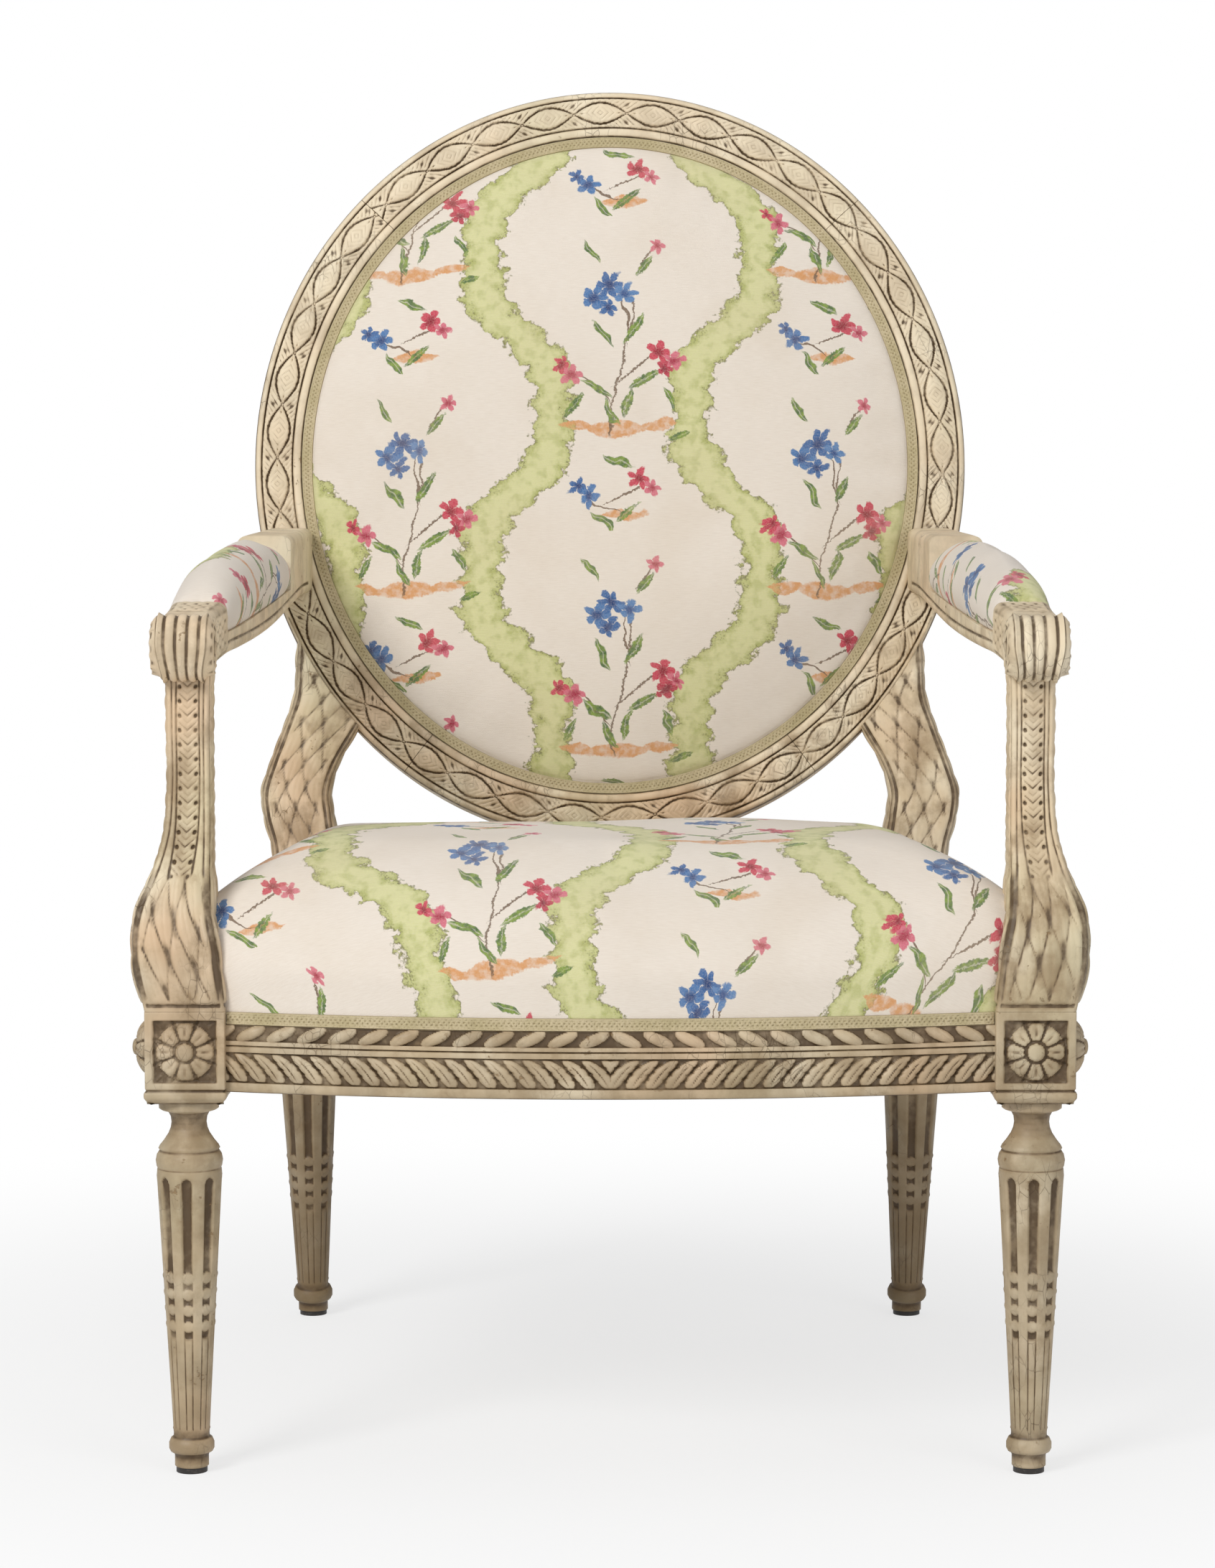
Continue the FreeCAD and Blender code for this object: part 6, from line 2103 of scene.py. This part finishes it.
@dataclass
class Gimp:
    """Flat braid of looping cords, laid along a path."""

    width: float = 9.0
    thick: float = 1.6
    pitch: float = 5.2

    def relief(self, along: np.ndarray, across: np.ndarray) -> np.ndarray:
        """Height of the cords over the braid's ground.

        Args:
            along: distance along the braid.
            across: distance from its middle.

        Returns:
            Height in millimetres.
        """
        phase = 2 * math.pi * along / self.pitch
        swing = 0.29 * self.width
        best = np.zeros(np.broadcast(along, across).shape)
        for k, shift in enumerate((0.0, 2 * math.pi / 3, 4 * math.pi / 3)):
            off = across - swing * np.sin(phase / 2 + shift)
            over = 0.75 + 0.25 * np.sin(phase + 2 * shift + k)
            best = np.maximum(best, over * np.sqrt(np.clip(1 - (off / 1.45) ** 2, 0, 1)))
        rim = np.sqrt(np.clip(1 - ((np.abs(across) - 0.42 * self.width) / 0.9) ** 2, 0, 1))
        return 1.1 * np.maximum(best, 0.9 * rim)

    def lay(self, shell: Shell, spots: np.ndarray, sideways: np.ndarray, outward: np.ndarray,
            closed: bool) -> None:
        """Add one run of braid.

        Args:
            shell: the piece's patches.
            spots: points under the braid's middle line.
            sideways: direction across the braid at each point.
            outward: direction off the surface at each point.
            closed: whether the run meets itself.
        """
        runs = np.r_[0, np.cumsum(np.linalg.norm(np.diff(spots, axis=0), axis=1))]
        across = np.linspace(-self.width / 2, self.width / 2, 17)
        relief = self.relief(runs[:, None], across[None]) + self.thick - 1.1
        relief[:, 0] = relief[:, -1] = 0.1
        top = spots[:, None] + sideways[:, None] * across[None, :, None] + outward[:, None] * relief[..., None]
        base = spots[:, None] + sideways[:, None] * across[None, ::-8, None] - outward[:, None] * 0.05
        points = np.concatenate([top, base], axis=1)
        hollow = np.concatenate([cavity(relief, 2, 0.5), np.zeros(base.shape[:2])], axis=1)
        shell.grid(points, wrap_rows=closed, wrap_columns=True, hollow=hollow, caps=not closed)

    def round_oval(self, name: str, node: str, inset: float, height: float, facing: int) -> None:
        """Lay braid round the oval.

        Args:
            name: the piece's name.
            node: solid that it stands for.
            inset: distance from the oval's outer edge to the braid's middle.
            height: height over the oval's plane.
            facing: 1 to the front, -1 to the rear.
        """
        turn = np.linspace(0, 2 * math.pi, 2300, endpoint=False)
        wide, high = CHAIR.oval_wide - inset, CHAIR.oval_high - inset
        flat = np.stack([wide * np.cos(turn), high * np.sin(turn), np.full(len(turn), height)], axis=1)
        spots = CHAIR.tilt(flat)
        out = CHAIR.tilt(flat + np.array([0, 0, float(facing)])) - spots
        along = np.roll(spots, -1, axis=0) - spots
        sideways = np.cross(out, along / np.linalg.norm(along, axis=1)[:, None])
        shell = Shell(name)
        self.lay(shell, spots, sideways, out, True)
        self.finish(shell, node)

    def finish(self, shell: Shell, node: str) -> None:
        """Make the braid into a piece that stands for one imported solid.

        Args:
            shell: the run's patches.
            node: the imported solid.
        """
        FINISHES.piece(shell, Slot.BRAID, node)

    def round_seat(self, cover: SeatCover) -> None:
        """Lay braid along the four rails, over the cover's tacked edge.

        Args:
            cover: the seat's cover, whose outline it follows.
        """
        line = cover.outline(cover.inset - 0.35)
        shell = Shell("Seat_braid")
        middle = cover.low + self.width / 2 - 0.3
        fine, _ = resample(np.vstack([line, line[:1]]), 0.85)
        x, y = fine.T
        beside = (y > 28.3) & (y < 454.8)
        for inside in ((np.abs(x) < 267.8) & (y < 0), (x > 0) & beside, (np.abs(x) < 222.3) & (y > 470),
                       (x < 0) & beside):
            run = fine[inside]
            heading = np.gradient(run, axis=0)
            heading /= np.linalg.norm(heading, axis=1)[:, None]
            out = np.c_[heading[:, 1], -heading[:, 0], np.zeros(len(run))]
            up = np.broadcast_to(np.array([0, 0, 1.0]), out.shape)
            self.lay(shell, np.c_[run, np.full(len(run), middle)], up, out, False)
        self.finish(shell, "seat_gimp")


@dataclass
class Webbing:
    """Interlaced jute strips, each one over and under the strips that cross it."""

    width: float = 52.0
    thick: float = 1.0

    def strip(self, shell: Shell, middle: float, start: float, end: float, crossing: np.ndarray,
              first: int, base: float, lengthways: bool) -> float:
        """Add one strip.

        Args:
            shell: the piece's patches.
            middle: where the strip lies across its length.
            start: its first end.
            end: its other end.
            crossing: middles of the strips that it crosses.
            first: 1 if it starts over the first of them, -1 if under.
            base: height of the layer's middle.
            lengthways: whether it runs along Y.

        Returns:
            Its length.
        """
        count = int((end - start) / 5)
        along = np.linspace(start, end, count)
        sway = np.zeros(count)
        for index, place in enumerate(crossing):
            sway += first * (-1) ** index * ease(self.width * 0.75, self.width * 0.35, np.abs(along - place))
        across = np.r_[np.linspace(-1, 1, 9), np.linspace(1, -1, 9)] * self.width / 2
        lift = np.r_[np.full(9, 0.5), np.full(9, -0.5)] * self.thick
        points = np.empty((count, 18, 3))
        u, v = (0, 1) if lengthways else (1, 0)
        points[..., u] = middle + across
        points[..., v] = along[:, None]
        points[..., 2] = base + lift + 0.55 * sway[:, None]
        cloth = np.stack([np.broadcast_to(across, points.shape[:2]), points[..., v]], axis=-1)
        shell.grid(points, wrap_columns=True, cloth=cloth, caps=True)
        return end - start

    def net(self, name: str, across: np.ndarray, back: np.ndarray, reach: Callable, base: float,
            tilt: bool, node: str) -> None:
        """Make a net of strips.

        Args:
            name: the piece's name.
            across: middles of the strips that run along the second direction.
            back: middles of the strips that run along the first.
            reach: gives the ends of a strip from its direction and its middle.
            base: height of the net.
            tilt: whether the net lies in the oval's plane.
            node: solid that it stands for.
        """
        shell = Shell(name)
        total = 0.0
        for index, x in enumerate(across):
            start, end = reach(True, x)
            total += self.strip(shell, x, start, end, back, (-1) ** index, base, True)
        for index, y in enumerate(back):
            start, end = reach(False, y)
            total += self.strip(shell, y, start, end, across, -(-1) ** index, base, False)
        if tilt:
            shell.points = [CHAIR.tilt(patch) for patch in shell.points]
        piece = FINISHES.piece(shell, Slot.WEBBING, node)
        total * MM


@dataclass
class Linings:
    """Hidden cloths: hessian under the seat and in the back, the nets of webbing, and the outer back."""

    def plate(self, name: str, rings: np.ndarray, slot: Slot, node: str, thick: float,
              tilt: bool) -> None:
        """Make a flat cloth from rings that close on its middle.

        Args:
            name: the piece's name.
            rings: rings of points from the edge inwards.
            slot: its finish.
            node: solid that it stands for.
            thick: thickness of the cloth.
            tilt: whether it lies in the oval's plane.
        """
        under = rings[::-1].copy()
        under[..., 2] -= thick
        points = np.concatenate([rings[::-1], under[::-1]])
        shell = Shell(name)
        shell.grid(CHAIR.tilt(points) if tilt else points, wrap_columns=True, cloth=points[..., :2], caps=True)
        piece = FINISHES.piece(shell, slot, node)

    def oval_rings(self, inset: float, height: float) -> np.ndarray:
        """Rings of an oval sheet.

        Args:
            inset: distance inside the oval's outer edge.
            height: height over the oval's plane.

        Returns:
            Rings from the edge inwards.
        """
        turn = np.linspace(0, 2 * math.pi, 240, endpoint=False)
        wide, high = CHAIR.oval_wide - inset, CHAIR.oval_high - inset
        return np.stack([np.stack([wide * k * np.cos(turn), high * k * np.sin(turn), np.full(240, height)],
                                  axis=1) for k in np.linspace(1, 0.02, 30)])

    def build(self, cover: SeatCover) -> None:
        """Make the linings.

        Args:
            cover: the seat's cover, whose outline the hessian follows.
        """
        edge = cover.ring(6.0, 333.9)
        rings = np.stack([edge * np.array([k, k, 1]) + np.array([0, CHAIR.seat_middle * (1 - k), 0])
                          for k in np.linspace(1, 0.02, 30)])
        rings = cover.clear(rings)
        self.plate("Seat_hessian", rings, Slot.HESSIAN, "seat_hessian", 0.8, False)
        self.plate("Back_hessian", self.oval_rings(39, 4.8), Slot.HESSIAN, "back_hessian", 0.8,
                   True)
        self.plate("Outer_back_cover", self.oval_rings(27.4, -11.6), Slot.COTTON, "outer_back_cover", 1.2,
                   True)
        web = Webbing()
        lip = 39.0
        nose = 8 - CHAIR.block_half - CHAIR.bow + 5

        def seat_reach(lengthways: bool, middle: float) -> tuple[float, float]:
            """Ends of one strip on the rails.

            Args:
                lengthways: whether it runs along Y.
                middle: where it lies across its length.

            Returns:
                Its two ends.
            """
            if lengthways:
                return nose + float(CHAIR.bow_line(abs(middle) + web.width / 2)), CHAIR.depth + 9
            half = float(CHAIR.side_line(middle + web.width / 2)) - 5
            return -half, half

        def back_reach(lengthways: bool, middle: float) -> tuple[float, float]:
            """Ends of one strip on the oval's lip.

            Args:
                lengthways: whether it runs up the back.
                middle: where it lies across its length.

            Returns:
                Its two ends.
            """
            other, own = CHAIR.oval_wide - lip, CHAIR.oval_high - lip
            if not lengthways:
                other, own = own, other
            half = own * math.sqrt(max(0.0, 1 - ((abs(middle) + web.width / 2) / other) ** 2))
            return -half, half

        web.net("Seat_webbing", np.linspace(-193, 193, 5), np.linspace(69.6, 403.5, 5), seat_reach, 332.0,
                False, "seat_webbing")
        web.net("Back_webbing", np.linspace(-200, 200, 5), np.linspace(-220, 220, 5), back_reach, 2.6, True,
                "back_webbing")


@dataclass
class Hidden:
    """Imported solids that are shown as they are, in their own finishes."""

    slots: tuple[tuple[str, Slot], ...] = (
        ("corner_block_front_left", Slot.BEECH), ("corner_block_front_right", Slot.BEECH),
        ("corner_block_rear_left", Slot.BEECH), ("corner_block_rear_right", Slot.BEECH),
        ("tenon_pegs", Slot.BEECH), ("oval_dowels", Slot.BEECH), ("stile_dowels", Slot.BEECH),
        ("arm_dowels", Slot.BEECH), ("corner_screws", Slot.STEEL), ("foot_glides", Slot.GLIDE))

    def build(self) -> None:
        """Give each solid its finish."""
        for name, slot in self.slots:
            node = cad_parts[name]
            node.data.materials.clear()
            node.data.materials.append(FINISHES.made[slot])
            LOG.info("finished %s", name)


# ---- Studio ----
@dataclass
class Studio:
    """Camera where the photograph was taken, white surroundings, a pale floor and soft lights."""

    camera_at: tuple[float, float, float] = (-0.002, -3.29039, 0.753)
    camera_tilt: float = 84.95
    focal_length: float = 99.07
    floor_half: float = 6.0
    room_light: float = 0.37

    def camera(self) -> None:
        """Place the camera."""
        data = bpy.data.cameras.new("Camera")
        data.lens = self.focal_length
        data.sensor_width = 36
        data.sensor_fit = "AUTO"
        camera = bpy.data.objects.new("Camera", data)
        camera.location = self.camera_at
        camera.rotation_euler = (math.radians(self.camera_tilt), 0, 0)
        bpy.context.scene.collection.objects.link(camera)
        bpy.context.scene.camera = camera

    def surroundings(self) -> None:
        """Light the room evenly and show it white to the camera."""
        world = bpy.data.worlds.new("Surroundings")
        bpy.context.scene.world = world
        g = Graph(world)
        room = g.add("Background", {"Color": "#f4f6fa", "Strength": self.room_light})
        seen = g.add("Background", {"Color": "#ffffff"})
        ray = g.add("LightPath", output="Is Camera Ray")
        g.add("OutputWorld", {"Surface": g.add("MixShader", ray, room, seen)})

    def floor(self) -> None:
        """Lay the floor."""
        mesh = bpy.data.meshes.new("Floor")
        half = self.floor_half
        mesh.from_pydata([(-half, -half, 0), (half, -half, 0), (half, half, 0), (-half, half, 0)],
                         [], [(0, 1, 2, 3)])
        g = Graph(bpy.data.materials.new("Studio_floor"))
        spot = g.add("TexCoord", output="Object")
        away = g.add("VectorMath", spot, output="Value", operation="LENGTH")
        camera, glossy = (g.add("LightPath", output=ray) for ray in ("Is Camera Ray", "Is Glossy Ray"))
        seen = g.add("Math", camera, glossy, operation="MAXIMUM")
        plain = g.add("BsdfPrincipled", {"Base Color": "#f4f4f3", "Roughness": 0.85})
        white = g.add("Emission", {"Color": "#ffffff", "Strength": 1.0})
        share = seen * g.add("MapRange", away, 0.3, 1.15, 0.7, 1.0, **STEP)
        g.add("OutputMaterial", {"Surface": g.add("MixShader", share, plain, white)})
        mesh.materials.append(g.owner)
        floor = bpy.data.objects.new("Floor", mesh)
        bpy.context.scene.collection.objects.link(floor)

    def light(self, name: str, at: tuple[float, float, float], aim: tuple[float, float, float],
              width: float, power: float) -> None:
        """Hang one soft light.

        Args:
            name: its name.
            at: where it hangs, in metres.
            aim: the point it faces.
            width: side of its square face.
            power: watts.
        """
        data = bpy.data.lights.new(name, "AREA")
        data.size = width
        data.energy = power
        lamp = bpy.data.objects.new(name, data)
        lamp.location = at
        lamp.rotation_euler = (Vector(aim) - Vector(at)).to_track_quat("-Z", "Y").to_euler()
        bpy.context.scene.collection.objects.link(lamp)

    def build(self) -> None:
        """Set the whole studio up."""
        self.surroundings()
        self.floor()
        self.light("Key_light", (-1.9, -2.8, 2.6), (0, 0, 0.6), 1.3, 84)
        self.light("Fill_light", (2.3, -2.9, 1.7), (0, 0, 0.6), 2.0, 28)
        self.light("Top_light", (0, -0.4, 3.2), (0, 0, 0.5), 1.8, 8)
        self.camera()
        scene = bpy.context.scene
        scene.view_settings.view_transform = "Standard"
        scene.view_settings.look = "None"


def build_frame() -> None:
    """Make the carved wood frame."""
    SeatFrame().build()
    for side in Side:
        for part in (FrontLeg(side), RearPost(side), Arm(side), ArmSupport(side)):
            part.build()
    OvalFrame().build()


def build_upholstery() -> None:
    """Make the covers, the braid and the linings."""
    cover = SeatCover()
    cover.build()
    BackCover().build()
    for side in Side:
        ArmPad(side).build()
    gimp = Gimp()
    gimp.round_seat(cover)
    gimp.round_oval("Back_braid", "back_gimp", 42.8, 10.2, 1)
    gimp.round_oval("Outer_back_braid", "outer_back_gimp", 31.9, -13.1, -1)
    Linings().build(cover)


def main() -> None:
    """Build the scene in order."""
    logging.basicConfig(level=logging.INFO)
    PLACE.measure()
    FINISHES.build()
    LOG.info("finishes made")
    build_frame()
    LOG.info("frame carved")
    build_upholstery()
    LOG.info("upholstery made")
    Hidden().build()
    Studio().build()
    LOG.info("studio set")


if __name__ == "__main__":
    main()
